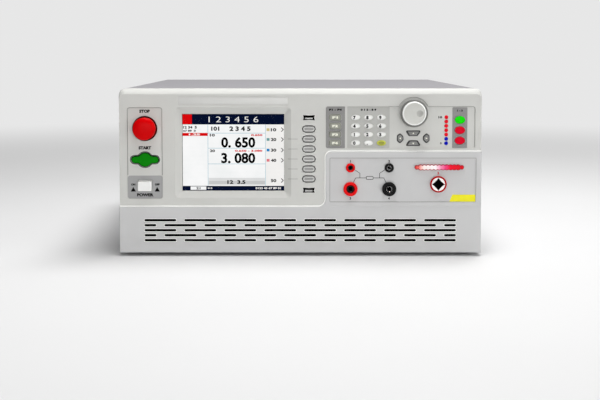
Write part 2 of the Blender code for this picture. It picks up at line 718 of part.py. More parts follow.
def make_upper_moulding():
    """The main front moulding, with its rounded edge along the top and all its apertures."""
    shape = polygon(
        [
            (LEFT, SPLIT_LOW, 0),
            (SPLIT_X, SPLIT_LOW, SPLIT_RADIUS),
            (SPLIT_X, SPLIT_HIGH, SPLIT_RADIUS),
            (RIGHT, SPLIT_HIGH, 0),
            (RIGHT, TOP, CORNER_RADIUS),
            (LEFT, TOP, CORNER_RADIUS),
        ],
        5,
    )
    stations = []
    for back, drop in quarter(5, TOP_FLATNESS):
        side = EDGE_BREAK * drop
        stations.append((TOP_FILLET * back, [0, 0, 0, side, TOP_FILLET * drop, side]))
    stations.append((MOULD_DEPTH, 0.0))
    moulding = solid("front_moulding_upper", "moulding_grey", shape, stations)
    relief = [(WALL, [WALL, WALL, WALL, WALL, WALL + TOP_RELIEF, WALL]), (WALL + TOP_RELIEF, WALL)]
    cut(moulding, [(shape, relief + [(MOULD_DEPTH + WALL, WALL)], (0, 0))])

    frame = box(DISPLAY_FRAME_WIDTH, DISPLAY_FRAME_HEIGHT, DISPLAY_FRAME_RADIUS)
    surround = (frame, [(WALL / 2, -SURROUND_WALL), (SURROUND_DEPTH, -SURROUND_WALL)])
    boss, height = disc(BOSS_DIAMETER, 10), [(WALL / 2, 0), (BOARD_FRONT - GAP, 0)]
    bosses = [(boss, height, place) for place in boss_places()]
    join(moulding, [(*surround, (DISPLAY_X, DISPLAY_Z))] + bosses)

    out = -RECESS_DEPTH
    switch_recess = span(
        SWITCH_RECESS_X - SWITCH_RECESS_WIDTH / 2,
        SWITCH_RECESS_X + SWITCH_RECESS_WIDTH / 2,
        SWITCH_RECESS_BOTTOM,
        SWITCH_RECESS_TOP,
        KEY_FIELD_RADIUS,
    )
    sides = (KEY_FIELD_LEFT, KEY_FIELD_RIGHT, KEY_FIELD_BOTTOM, KEY_FIELD_TOP)
    key_field = span(*sides, KEY_FIELD_RADIUS)
    plate = box(PLATE_RECESS_WIDTH, PLATE_RECESS_HEIGHT, PLATE_RECESS_DEPTH)
    shallow = [(out, 0), (PLATE_RECESS_DEPTH, 0)]
    deep = [(out, 0), (RECESS_DEPTH, 0)]
    fields = [(switch_recess, deep, (0, 0)), (key_field, deep, (0, 0))]
    cut(moulding, fields + [(plate, shallow, (DISPLAY_X, PLATE_RECESS_Z))])
    cut(moulding, [(disc(2 * KNOB_FIELD_RADIUS, 32), deep, (KNOB_X, KNOB_Z))])

    slope = DISPLAY_SLOPE / SLOPE_DEPTH
    taper = [(out, out * slope), (SLOPE_DEPTH, DISPLAY_SLOPE), (SURROUND_DEPTH + WALL, DISPLAY_SLOPE)]
    holes = [(frame, taper, (DISPLAY_X, DISPLAY_Z))]
    holes += [(shape, through_wall(play), (x, z)) for _, _, x, z, shape, play in key_layout()]
    holes += [(shape, through_wall(KEY_PLAY), (x, z)) for _, x, z, shape, _ in switch_layout()[:2]]
    slot = box(POWER_SLOT_WIDTH, POWER_SLOT_HEIGHT, KEY_EDGE)
    holes.append((slot, through_wall(0.0), (SWITCH_RECESS_X, POWER_Z + POWER_SLOT_RISE)))
    holes += [(disc(LAMP_DIAMETER, 10), through_wall(GAP), (LAMP_X, z)) for z in lamp_heights()]
    port = box(USB_WIDTH, USB_HEIGHT, USB_SHELL, 2)
    holes += [(port, through_wall(GAP), (SOFT_COLUMN_X, z)) for z in usb_heights()]
    holes.append((disc(KNOB_SHAFT, 16), through_wall(KEY_PLAY), (KNOB_X, KNOB_Z)))
    cut(moulding, holes)


def vent_places():
    """Middles and lengths of the vents: full rows and rows that start and end with a short slot."""
    places = []
    field = (VENT_FULL_COUNT - 1) * VENT_PITCH + VENT_LENGTH
    short = VENT_LENGTH - VENT_PITCH / 2
    for row in range(VENT_ROWS):
        z = VENT_MIDDLE + VENT_ROW_PITCH * ((VENT_ROWS - 1) / 2 - row)
        count = VENT_FULL_COUNT - row % 2
        places += [(VENT_PITCH * (index - (count - 1) / 2), z, VENT_LENGTH) for index in range(count)]
        if row % 2:
            places += [(side * (field - short) / 2, z, short) for side in (-1, 1)]
    return places


def terminal_layout():
    """Places the four test sockets: (name, finish, x, z, diameter, hole, reach)."""
    terminals = []
    for colour, x in (("red", TERMINAL_RED_X), ("black", TERMINAL_BLACK_X)):
        finish = f"terminal_{colour}"
        terminals.append(
            (f"sense_terminal_{colour}", finish, x, SENSE_Z, SENSE_DIAMETER, SENSE_HOLE, SENSE_REACH)
        )
        terminals.append(
            (f"drive_terminal_{colour}", finish, x, DRIVE_Z, DRIVE_DIAMETER, DRIVE_HOLE, DRIVE_REACH)
        )
    return terminals


def barrel_diameter(diameter):
    """Diameter of a socket's barrel behind its collar."""
    return diameter - 2 * WALL


def make_lower_moulding():
    """The lower moulding: a vented strip and the terminal bay, with a bead along the split."""
    shape = polygon(
        [
            (LEFT, BOTTOM, 0),
            (RIGHT, BOTTOM, 0),
            (RIGHT, SPLIT_HIGH, 0),
            (SPLIT_X, SPLIT_HIGH, SPLIT_RADIUS),
            (SPLIT_X, SPLIT_LOW, SPLIT_RADIUS),
            (LEFT, SPLIT_LOW, 0),
        ],
        5,
    )

    def sides(edge, split):
        return [edge, edge, split + SPLIT_GAP, split + SPLIT_GAP, split + SPLIT_GAP, edge]

    front = -LOWER_PROUD
    stations = [
        (front + BEAD_RADIUS * back, sides(EDGE_BREAK * share, BEAD_RADIUS * share))
        for back, share in quarter(3)
    ]
    stations.append((MOULD_DEPTH, sides(0.0, 0.0)))
    moulding = solid("front_moulding_lower", "lower_moulding_grey", shape, stations)
    inside = sides(WALL, WALL)
    cut(moulding, [(shape, [(front + WALL, inside), (MOULD_DEPTH + WALL, inside)], (0, 0))])

    floor = front + BAY_RECESS_DEPTH
    bay = span(BAY_RECESS_LEFT, BAY_RECESS_RIGHT, BAY_RECESS_BOTTOM, BAY_RECESS_TOP, EDGE_BREAK, 2)
    cut(moulding, [(bay, [(front - WALL, 0), (floor, 0)], (0, 0))])

    through = [(front - WALL, 0), (front + 2 * WALL, 0)]
    holes = [(stadium(length, VENT_HEIGHT, 4), through, (x, z)) for x, z, length in vent_places()]
    for _, _, x, z, diameter, _, _ in terminal_layout():
        holes.append((disc(barrel_diameter(diameter) + 2 * GAP), through, (x, z)))
    holes.append((disc(barrel_diameter(HV_DIAMETER) + 2 * GAP), through, (HV_X, HV_Z)))
    cut(moulding, holes)


# Keys, buttons, lamps and ports


def flange_stations(play):
    """The hidden flange of a key, which laps the edge of its hole, then the root of its cap."""
    front = WALL + GAP
    lap = -play - FLANGE_LAP
    return [(front + FLANGE_THICKNESS, lap), (front, lap), (front, 0.0)]


def make_keys():
    """The small keys: dished caps beside the display, softly domed caps elsewhere."""
    for name, finish, x, z, shape, play in key_layout():
        top = RECESS_DEPTH - KEY_PROUD - KEY_EDGE
        stations = flange_stations(play)
        if name.startswith("soft"):
            top = -KEY_PROUD
            stations += [(top + KEY_EDGE, 0.0), (top, KEY_EDGE), (top, SOFT_KEY_RIM)]
            stations.append((top + SOFT_KEY_DISH, SOFT_KEY_RIM + KEY_EDGE))
        else:
            stations += [(top + KEY_EDGE, 0.0), (top, KEY_EDGE)]
        solid(name, finish, shape, stations, x, z)


def make_switches():
    """The stop, start and power buttons."""
    stop, start, power = switch_layout()
    step = (STOP_COLLAR - STOP_DIAMETER) / 2
    dome = STOP_REACH * 0.35
    stations = flange_stations(KEY_PLAY) + [(-GAP, 0.0), (-2 * GAP, step), (dome - STOP_REACH, step)]
    stations += [
        (dome * share - STOP_REACH, step + STOP_DIAMETER / 2 * inward)
        for share, inward in ((0.45, 0.09), (0.12, 0.34), (0.0, 0.70))
    ]
    solid(stop[0], "stop_red", disc(STOP_COLLAR, 28), stations, stop[1], stop[2])

    face = RECESS_DEPTH + START_SINK
    stations = flange_stations(KEY_PLAY) + [(face + KEY_EDGE, 0.0), (face, KEY_EDGE)]
    solid(start[0], "start_green", start[3], stations, start[1], start[2])

    stations = flange_stations(KEY_PLAY) + [(KEY_EDGE - POWER_REACH, 0.0), (-POWER_REACH, KEY_EDGE)]
    solid(power[0], "power_white", power[3], stations, power[1], power[2])


def make_knob():
    """The rotary knob: a dished cap with a finger dimple, a skirt in the round field and a shaft."""
    skirt = KNOB_SKIRT / 2
    cap = skirt - KNOB_DIAMETER / 2
    back = RECESS_DEPTH - GAP
    top = -KNOB_REACH
    rim = KNOB_DIAMETER / 14
    stations = [
        (top + KEY_EDGE, cap + 2 * rim),
        (top, cap + 1.3 * rim),
        (top, cap + 0.6 * rim),
        (top + 0.5 * rim, cap),
        (-KNOB_SKIRT_REACH, cap),
        (-KNOB_SKIRT_REACH + KEY_EDGE, KEY_EDGE),
        (-KNOB_SKIRT_REACH + 3 * KEY_EDGE, 0.0),
        (back, 0.0),
        (back, skirt - KNOB_SHAFT / 2 + KEY_PLAY),
        (BOARD_FRONT - SWITCH_BLOCK, skirt - KNOB_SHAFT / 2 + KEY_PLAY),
    ]
    knob = solid("rotary_knob", "knob_grey", disc(KNOB_SKIRT, 30), stations, KNOB_X, KNOB_Z)
    depth = KNOB_DIMPLE / 5
    radius = (KNOB_DIMPLE**2 / 4 + depth**2) / (2 * depth)
    mesh = bmesh.new()
    bmesh.ops.create_uvsphere(mesh, u_segments=16, v_segments=16, radius=radius)
    centre = (KNOB_DIMPLE_OFFSET, top + KEY_EDGE + depth - radius, 0.0)
    bmesh.ops.translate(mesh, vec=centre, verts=mesh.verts)
    combine(knob, mesh, "DIFFERENCE", KNOB_X, KNOB_Z)


def make_lamps():
    """The column of round lamps, moulded as domes on one strip behind the wall."""
    front = WALL + GAP
    middle = LAMP_TOP - LAMP_PITCH * (LAMP_COUNT - 1) / 2
    length = LAMP_PITCH * LAMP_COUNT + WALL
    strip = box(LAMP_STRIP_WIDTH, length)
    column = solid("lamp_column", "lamp_red", strip, [(front, 0), (front + WALL, 0)], LAMP_X, middle)
    dome = disc(LAMP_DIAMETER, 10)
    face = RECESS_DEPTH - KEY_PROUD
    stations = [(front + WALL / 2, 0), (face + KEY_EDGE, 0), (face, 2 * KEY_EDGE)]
    join(column, [(dome, stations, (0, z - middle)) for z in lamp_heights()], LAMP_X, middle)


def make_usb_ports():
    """Two ports: a shell that seats on the front board, with a tongue inside."""
    back = BOARD_FRONT - GAP
    for name, z in zip(("usb_port_upper", "usb_port_lower"), usb_heights()):
        shell = box(USB_WIDTH, USB_HEIGHT, USB_SHELL, 2)
        port = solid(name, "port_black", shell, [(0, 0), (back, 0)], SOFT_COLUMN_X, z)
        inner = box(USB_WIDTH - 2 * USB_SHELL, USB_HEIGHT - 2 * USB_SHELL)
        cut(port, [(inner, [(-WALL, 0), (back - 2 * USB_SHELL, 0)], (0, 0))], SOFT_COLUMN_X, z)
        tongue = box(USB_WIDTH - 4 * USB_SHELL, USB_TONGUE)
        stations = [(2 * USB_SHELL, 0), (back - USB_SHELL, 0)]
        join(port, [(tongue, stations, (0, -USB_TONGUE_DROP))], SOFT_COLUMN_X, z)


# Display and boards


def make_display():
    """The clear window behind the sloped frame, and the display module behind it."""
    view = box(DISPLAY_FRAME_WIDTH - 2 * DISPLAY_SLOPE, DISPLAY_FRAME_HEIGHT - 2 * DISPLAY_SLOPE)
    front = SURROUND_DEPTH + GAP
    back = front + WINDOW_THICKNESS
    stations = [(front, -WINDOW_LAP), (back, -WINDOW_LAP)]
    solid("display_window", "window_clear", view, stations, DISPLAY_X, DISPLAY_Z)
    front = back + GAP
    back = front + MODULE_DEPTH
    stations = [(front, -MODULE_LAP), (back, -MODULE_LAP)]
    module = solid("display_module", "module_black", view, stations, DISPLAY_X, DISPLAY_Z)
    rear = [(back - GAP, MODULE_LAP), (back + WALL, MODULE_LAP)]
    join(module, [(view, rear, (0, 0))], DISPLAY_X, DISPLAY_Z)


def make_front_board():
    """The board behind the keys, with a window for the display and a switch under each key."""
    margin = WALL + BOARD_MARGIN
    shape = polygon(
        [
            (LEFT + margin, SPLIT_LOW + margin, 0),
            (SPLIT_X - margin, SPLIT_LOW + margin, 0),
            (SPLIT_X - margin, SPLIT_HIGH + margin, 0),
            (RIGHT - margin, SPLIT_HIGH + margin, 0),
            (RIGHT - margin, TOP - margin, 0),
            (LEFT + margin, TOP - margin, 0),
        ]
    )
    back = BOARD_FRONT + BOARD_THICKNESS
    board = solid("front_board", "board_green", shape, [(BOARD_FRONT, 0), (back, 0)])
    view = box(DISPLAY_FRAME_WIDTH - 2 * DISPLAY_SLOPE, DISPLAY_FRAME_HEIGHT - 2 * DISPLAY_SLOPE)
    lap = -MODULE_LAP - BOARD_MARGIN
    cut(board, [(view, [(BOARD_FRONT - WALL, lap), (back + WALL, lap)], (DISPLAY_X, DISPLAY_Z))])
    flange_back = WALL + GAP + FLANGE_THICKNESS
    places = [(x, z, KEY_TRAVEL) for _, _, x, z, _, _ in key_layout()]
    places += [(x, z, travel) for _, x, z, _, travel in switch_layout()]
    block = box(SWITCH_BLOCK, SWITCH_BLOCK)
    root = BOARD_FRONT + BOARD_THICKNESS / 2
    blocks = [(block, [(flange_back + travel + GAP, 0), (root, 0)], (x, z)) for x, z, travel in places]
    encoder = box(2 * SWITCH_BLOCK, 2 * SWITCH_BLOCK)
    blocks.append((encoder, [(BOARD_FRONT - SWITCH_BLOCK + GAP, 0), (root, 0)], (KNOB_X, KNOB_Z)))
    join(board, blocks)


# Sockets and the lamp strip of the terminal bay


def socket_stations(reach, diameter, length):
    """A collar on the bay's floor, a barrel through the wall and a nut behind it."""
    floor = BAY_RECESS_DEPTH - LOWER_PROUD
    inner = WALL - LOWER_PROUD
    barrel = (diameter - barrel_diameter(diameter)) / 2
    nut = barrel / 3
    return [
        (floor - GAP - reach, EDGE_BREAK),
        (floor - GAP - reach + EDGE_BREAK, 0.0),
        (floor - GAP, 0.0),
        (floor - GAP, barrel),
        (inner + GAP, barrel),
        (inner + GAP, nut),
        (inner + GAP + NUT_THICKNESS, nut),
        (inner + GAP + NUT_THICKNESS, barrel),
        (length, barrel),
    ]


def make_terminals():
    """The four test sockets and the high voltage socket with its star-shaped mouth."""
    for name, finish, x, z, diameter, hole, reach in terminal_layout():
        stations = socket_stations(reach, diameter, TERMINAL_LENGTH)
        terminal = solid(name, finish, disc(diameter), stations, x, z)
        front = stations[0][0]
        bore = [(front - WALL, 0), (front + TERMINAL_HOLE_DEPTH, 0)]
        cut(terminal, [(disc(hole, 16), bore, (0, 0))], x, z)
    stations = socket_stations(HV_REACH, HV_DIAMETER, HV_LENGTH)
    socket = solid("hv_socket", "terminal_red", disc(HV_DIAMETER, 24), stations, HV_X, HV_Z)
    front = stations[0][0]
    dish = [(front - WALL, 0), (front + EDGE_BREAK, 0)]
    cut(socket, [(disc(HV_INSERT, 24), dish, (0, 0))], HV_X, HV_Z)
    mouth = [(front - WALL, 0), (front + HV_DEPTH, 0)]
    cut(socket, [(star(HV_STAR, HV_STAR_POWER), mouth, (0, 0))], HV_X, HV_Z)


def make_lamp_strip():
    """The scalloped warning lamp bar on the bay's floor."""
    floor = BAY_RECESS_DEPTH - LOWER_PROUD - GAP
    shape = lobed_bar(STRIP_LOBES, STRIP_LOBE_PITCH, STRIP_LOBE_RADIUS, STRIP_END_RADIUS)
    edge = EDGE_BREAK / 2
    stations = [(floor, 0), (floor - STRIP_REACH + edge, 0), (floor - STRIP_REACH, edge)]
    solid("warning_lamp_strip", "strip_lens", shape, stations, STRIP_X, STRIP_Z)


# Case


def bent_sheet(left, right, low, high, radius, thickness):
    """Section of a sheet bent over the top: outer side, then inner side."""
    outer = polygon([(left, low, 0), (right, low, 0), (right, high, radius), (left, high, radius)], 5)
    inner_radius = max(radius - thickness, thickness)
    inner = polygon(
        [
            (left + thickness, low, 0),
            (right - thickness, low, 0),
            (right - thickness, high - thickness, inner_radius),
            (left + thickness, high - thickness, inner_radius),
        ],
        5,
    )

    def outline(inset=0.0):
        outside, inside = outer(), inner()
        return outside[1:] + outside[:1] + inside[:1] + list(reversed(inside[1:]))

    return outline


def make_case():
    """The cover over top and sides, the tray below and the plate at the rear."""
    front = MOULD_DEPTH + GAP
    low = BOTTOM + TRAY_LIFT
    cover = bent_sheet(LEFT, RIGHT, low, TOP, CORNER_RADIUS, SHEET)
    solid("top_cover", "cover_paint", cover, [(front, 0), (CASE_DEPTH, 0)])

    side = RIGHT - SHEET - GAP
    floor = low + SHEET
    rear = CASE_DEPTH - PLATE
    corners = [
        (-side, low, 0),
        (side, low, 0),
        (side, low + TRAY_FLANGE, 0),
        (side - SHEET, low + TRAY_FLANGE, 0),
        (side - SHEET, floor, 0),
        (-side + SHEET, floor, 0),
        (-side + SHEET, low + TRAY_FLANGE, 0),
        (-side, low + TRAY_FLANGE, 0),
    ]
    tray = solid("chassis_tray", "galvanised_sheet", polygon(corners), [(front, 0), (rear - GAP, 0)])
    mesh = bmesh.new()
    for x, y in standoff_places():
        add_post(mesh, x, y, floor - SHEET / 2, floor + STANDOFF_HEIGHT, STANDOFF_DIAMETER)
    combine(tray, mesh, "UNION")

    radius = CORNER_RADIUS - SHEET - GAP
    plate = polygon(
        [
            (-side, low, 0),
            (side, low, 0),
            (side, TOP - SHEET - GAP, radius),
            (-side, TOP - SHEET - GAP, radius),
        ]
    )
    panel = solid("rear_panel", "cover_paint", plate, [(rear, 0), (CASE_DEPTH, 0)])
    through = [(rear - WALL, 0), (CASE_DEPTH + WALL, 0)]
    inlet = box(INLET_BODY_WIDTH + 2 * GAP, INLET_BODY_HEIGHT + 2 * GAP)
    cut(panel, [(disc(FAN_BORE, 32), through, (FAN_X, FAN_Z)), (inlet, through, (INLET_X, INLET_Z))])


def make_feet():
    """Four tapered rubber feet under the tray."""
    top = BOTTOM + TRAY_LIFT - GAP
    x = WIDTH / 2 - FOOT_INSET_X
    for row, y in (("front", FOOT_INSET_FRONT), ("rear", CASE_DEPTH - FOOT_INSET_REAR)):
        for side, sign in (("left", -1), ("right", 1)):
            mesh = bmesh.new()
            rings = []
            for z, share in ((0.0, 0.88), (top * 0.2, 0.94), (top, 1.0)):
                points = arc((sign * x, y), FOOT_DIAMETER / 2 * share, 0, 360, 16)[:-1]
                rings.append([mesh.verts.new((px, py, z)) for px, py in points])
            close_rings(mesh, rings)
            make_object(f"foot_{row}_{side}", mesh, "rubber_black")


# Fan, guard and inlet


def add_blade(mesh, angle, root, tip, front, back):
    """Adds one fan blade: cambered sections that turn flatter from the root to the tip."""
    rings = []
    rows = 5
    for row in range(rows):
        share = row / (rows - 1)
        radius = root + (tip - root) * share
        pitch = math.radians(BLADE_PITCH - BLADE_TWIST * share)
        chord = (back - front) / math.sin(pitch) * (BLADE_FILL - BLADE_TAPER * share)
        thickness = BLADE_THICKNESS * (1.3 - 0.6 * share)
        section = [(-0.5, 0.0), (-0.2, 1.0), (0.2, 1.0), (0.5, 0.0), (0.2, -0.2), (-0.2, -0.2)]
        ring = []
        for along, lift in section:
            camber = chord * BLADE_CAMBER * (1 - (2 * along) ** 2)
            across = along * chord * math.cos(pitch) - (camber + lift * thickness) * math.sin(pitch)
            deep = along * chord * math.sin(pitch) + (camber + lift * thickness) * math.cos(pitch)
            turn = angle + across / radius + math.radians(BLADE_SWEEP) * share
            y = (front + back) / 2 + deep
            ring.append(mesh.verts.new((radius * math.cos(turn), y, radius * math.sin(turn))))
        rings.append(ring)
    close_rings(mesh, rings)


def make_fan():
    """The fan's frame with its motor spider, and the rotor with twisted blades."""
    back = CASE_DEPTH - PLATE - GAP
    front = back - FAN_DEPTH
    square = box(FAN_SIZE, FAN_SIZE, WALL)
    frame = solid("fan_frame", "fan_black", square, [(front, 0), (back, 0)], FAN_X, FAN_Z)
    cut(frame, [(disc(FAN_BORE, 32), [(front - WALL, 0), (back + WALL, 0)], (0, 0))], FAN_X, FAN_Z)
    spider = front + FAN_SPIDER
    mesh = bmesh.new()
    long, short = FAN_BORE / 2 + GUARD_RIB / 2, FAN_HUB / 3
    for low, high in ((-long, -short), (short, long)):
        add_box(mesh, (low, high), (front, spider), (-GUARD_RIB / 2, GUARD_RIB / 2))
        add_box(mesh, (-GUARD_RIB / 2, GUARD_RIB / 2), (front, spider), (low, high))
    combine(frame, mesh, "UNION", FAN_X, FAN_Z)
    motor = disc(FAN_HUB, 24)
    join(frame, [(motor, [(front + GAP / 2, 0), (spider + GAP / 2, 0)], (0, 0))], FAN_X, FAN_Z)

    face, tail = spider + 1.5 * GAP, back - WALL
    edge = FAN_HUB / 20
    stations = [(face, 0), (tail - edge, 0), (tail, edge)]
    rotor = solid("fan_rotor", "fan_black", disc(FAN_HUB, 24), stations, FAN_X, FAN_Z)
    mesh = bmesh.new()
    root, tip = FAN_HUB / 2 - GUARD_RIB, FAN_BORE / 2 - FAN_TIP_PLAY
    for index in range(FAN_BLADES):
        angle = 2 * math.pi * index / FAN_BLADES
        add_blade(mesh, angle, root, tip, face + WALL, tail - WALL)
    combine(rotor, mesh, "UNION", FAN_X, FAN_Z)


def make_guard():
    """The finger guard: a square plate with rings of curved slots."""
    front, back = CASE_DEPTH + GAP, CASE_DEPTH + GUARD_REACH
    stations = [(front, 0), (back - EDGE_BREAK, 0), (back, EDGE_BREAK)]
    guard = solid("fan_guard", "fan_black", box(FAN_SIZE, FAN_SIZE, 2 * WALL), stations, FAN_X, FAN_Z)
    through = [(front - WALL, 0), (back + WALL, 0)]
    slots = []
    for row in range(GUARD_SLOT_ROWS):
        inner = GUARD_HUB_RADIUS + GUARD_RIB + row * GUARD_ROW
        outer = inner + GUARD_ROW - GUARD_RIB
        for sector in range(GUARD_SECTORS):
            middle = 360 / GUARD_SECTORS * (sector + 0.5)
            slots.append((curved_slot(inner, outer, middle, 2 + row), through, (0, 0)))
    cut(guard, slots, FAN_X, FAN_Z)


def curved_slot(inner, outer, middle, steps):
    """A sector of a ring that leaves a straight rib on each side."""

    def outline(inset=0.0):
        half = 180 / GUARD_SECTORS
        outer_half = half - math.degrees(math.asin(GUARD_RIB / 2 / outer))
        inner_half = half - math.degrees(math.asin(GUARD_RIB / 2 / inner))
        far = arc((0, 0), outer, middle - outer_half, middle + outer_half, steps)
        return far + arc((0, 0), inner, middle + inner_half, middle - inner_half, steps)

    return outline


def make_inlet():
    """The mains inlet: a flange on the rear plate, a body through it and three flat pins."""
    mouth = CASE_DEPTH + GAP + INLET_FLANGE_THICKNESS
    body_front = mouth - INLET_CAVITY_DEPTH - WALL
    flange = box(INLET_FLANGE_WIDTH, INLET_FLANGE_HEIGHT, WALL)
    inlet = solid(
        "mains_inlet", "port_black", flange, [(CASE_DEPTH + GAP, 0), (mouth, 0)], INLET_X, INLET_Z
    )
    body = box(INLET_BODY_WIDTH, INLET_BODY_HEIGHT)
    join(inlet, [(body, [(body_front, 0), (mouth - GAP, 0)], (0, 0))], INLET_X, INLET_Z)
    x, z, chamfer = INLET_CAVITY_WIDTH / 2, INLET_CAVITY_HEIGHT / 2, INLET_CHAMFER
    slanted = [(x, z - chamfer, 0), (x - chamfer, z, 0), (chamfer - x, z, 0), (-x, z - chamfer, 0)]
    cavity = polygon([(-x, -z, 0), (x, -z, 0)] + slanted)
    floor = mouth - INLET_CAVITY_DEPTH
    cut(inlet, [(cavity, [(floor, 0), (mouth + WALL, 0)], (0, 0))], INLET_X, INLET_Z)
    pin = box(INLET_PIN_SIZE, INLET_PIN_HEIGHT)
    apart, drop = INLET_PIN_SPACING, -INLET_PIN_DROP
    places = [(-apart, drop), (0, INLET_PIN_RISE), (apart, drop)]
    stations = [(floor - WALL / 2, 0), (floor + INLET_PIN_LENGTH, 0)]
    join(inlet, [(pin, stations, place) for place in places], INLET_X, INLET_Z)


# Inside the case


def standoff_places():
    """Places of the standoffs under the main board."""
    margin = MAIN_BOARD_MARGIN
    columns = (MAIN_BOARD_LEFT + margin, MAIN_BOARD_RIGHT - margin)
    rows = (MAIN_BOARD_FRONT + margin, MAIN_BOARD_REAR - margin)
    return [(x, y) for x in columns for y in rows]


def make_main_board():
    """The main board on its standoffs, with its relays, capacitors and a finned heat sink."""
    low = BOTTOM + TRAY_LIFT + SHEET + STANDOFF_HEIGHT + GAP
    high = low + BOARD_THICKNESS
    x, y = (MAIN_BOARD_LEFT, MAIN_BOARD_RIGHT), (MAIN_BOARD_FRONT, MAIN_BOARD_REAR)
    mesh = bmesh.new()
    add_box(mesh, x, y, (low, high))
    board = make_object("main_board", mesh, "board_green")
    root = high - BOARD_THICKNESS / 2
    left, front = x[0] + PART_INSET, y[0] + PART_INSET
    mesh = bmesh.new()
    for index in range(int((x[1] - left) / RELAY_PITCH)):
        relay = left + RELAY_PITCH * index
        depth = (front, front + RELAY_LENGTH)
        add_box(mesh, (relay, relay + RELAY_WIDTH), depth, (root, high + RELAY_HEIGHT))
    row = y[1] - 2 * CAPACITOR_DIAMETER
    for index in range(CAPACITOR_COUNT):
        middle = left + PART_INSET + CAPACITOR_PITCH * index
        add_post(mesh, middle, row, root, high + CAPACITOR_HEIGHT, CAPACITOR_DIAMETER)
    sink = x[1] - PART_INSET - SINK_WIDTH
    depth = ((y[0] + y[1] - SINK_LENGTH) / 2, (y[0] + y[1] + SINK_LENGTH) / 2)
    add_box(mesh, (sink, sink + SINK_WIDTH), depth, (root, high + SINK_BASE))
    combine(board, mesh, "UNION")
    mesh = bmesh.new()
    for index in range(FIN_COUNT):
        fin = sink + GAP + (SINK_WIDTH - FIN_THICKNESS - 2 * GAP) / (FIN_COUNT - 1) * index
        add_box(mesh, (fin, fin + FIN_THICKNESS), depth, (high + SINK_BASE / 2, high + SINK_HEIGHT))
    combine(board, mesh, "UNION")


def make_transformer():
    """The high voltage transformer: a laminated core with its coil standing out on both sides."""
    low = BOTTOM + TRAY_LIFT + SHEET + GAP
    middle = low + CORE_HEIGHT / 2
    core = box(CORE_WIDTH, CORE_HEIGHT, SHEET, 2)
    y = (TRANSFORMER_Y - CORE_LENGTH / 2, TRANSFORMER_Y + CORE_LENGTH / 2)
    stations = [(y[0], 0), (y[1], 0)]
    transformer = solid("hv_transformer", "core_steel", core, stations, TRANSFORMER_X, middle)
    coil = box(COIL_WIDTH, CORE_HEIGHT - 2 * COIL_LIFT, COIL_LIFT / 2, 4)
    bulge = [(y[0] - COIL_BULGE, WALL), (y[0] - COIL_BULGE + WALL, 0), (y[1] + COIL_BULGE - WALL, 0)]
    bulge.append((y[1] + COIL_BULGE, WALL))
    join(transformer, [(coil, bulge, (0, 0))], TRANSFORMER_X, middle)


def main():
    """Clears the scene and builds every piece."""
    for obj in list(bpy.data.objects):
        bpy.data.objects.remove(obj, do_unlink=True)
    make_upper_moulding()
    make_lower_moulding()
    make_keys()
    make_switches()
    make_knob()
    make_lamps()
    make_usb_ports()
    make_display()
    make_front_board()
    make_terminals()
    make_lamp_strip()
    make_case()
    make_feet()
    make_fan()
    make_guard()
    make_inlet()
    make_main_board()
    make_transformer()


main()
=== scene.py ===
"""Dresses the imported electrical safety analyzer: its finishes, prints, fine shapes and studio.

Every size is in metres, +Z up, with the front facing -Y. Places come from the frame's own boxes, or
are given on the front as (x, z). The front plane is the face of the upper moulding.
"""

import logging
import math
from collections.abc import Callable, Mapping, Sequence
from dataclasses import dataclass
from enum import Enum
from functools import partial

import bmesh
import bpy
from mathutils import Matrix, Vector


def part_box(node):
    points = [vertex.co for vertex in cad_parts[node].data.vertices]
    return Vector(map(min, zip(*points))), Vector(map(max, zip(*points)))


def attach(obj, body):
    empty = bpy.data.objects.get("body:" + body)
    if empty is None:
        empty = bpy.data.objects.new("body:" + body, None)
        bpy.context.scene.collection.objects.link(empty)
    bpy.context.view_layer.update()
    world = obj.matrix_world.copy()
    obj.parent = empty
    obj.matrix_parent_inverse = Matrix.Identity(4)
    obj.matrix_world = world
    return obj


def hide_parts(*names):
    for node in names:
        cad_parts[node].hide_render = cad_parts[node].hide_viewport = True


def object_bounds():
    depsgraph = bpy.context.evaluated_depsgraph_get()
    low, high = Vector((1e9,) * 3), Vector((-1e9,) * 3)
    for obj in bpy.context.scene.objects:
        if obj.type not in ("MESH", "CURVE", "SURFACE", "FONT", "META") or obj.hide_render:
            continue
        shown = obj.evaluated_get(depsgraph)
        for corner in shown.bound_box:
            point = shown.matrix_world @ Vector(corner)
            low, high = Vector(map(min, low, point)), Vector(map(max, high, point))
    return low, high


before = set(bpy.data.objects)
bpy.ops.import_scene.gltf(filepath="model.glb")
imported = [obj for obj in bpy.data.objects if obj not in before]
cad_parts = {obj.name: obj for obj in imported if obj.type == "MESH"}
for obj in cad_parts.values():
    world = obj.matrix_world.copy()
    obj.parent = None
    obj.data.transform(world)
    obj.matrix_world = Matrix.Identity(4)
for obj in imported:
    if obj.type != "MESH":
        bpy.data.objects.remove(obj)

CAD_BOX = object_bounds()
LOG = logging.getLogger("analyzer")
MADE: list[str] = []  # names of what the present group has made or dressed

Colour = tuple[float, float, float]
Point = tuple[float, float]
Sides = tuple[float, float, float, float]
Outline = Callable[..., list[Point]]
Station = tuple[float, float]
Flat = tuple[bpy.types.Mesh, Point]
Socket = bpy.types.NodeSocket
Shape = bmesh.types.BMesh

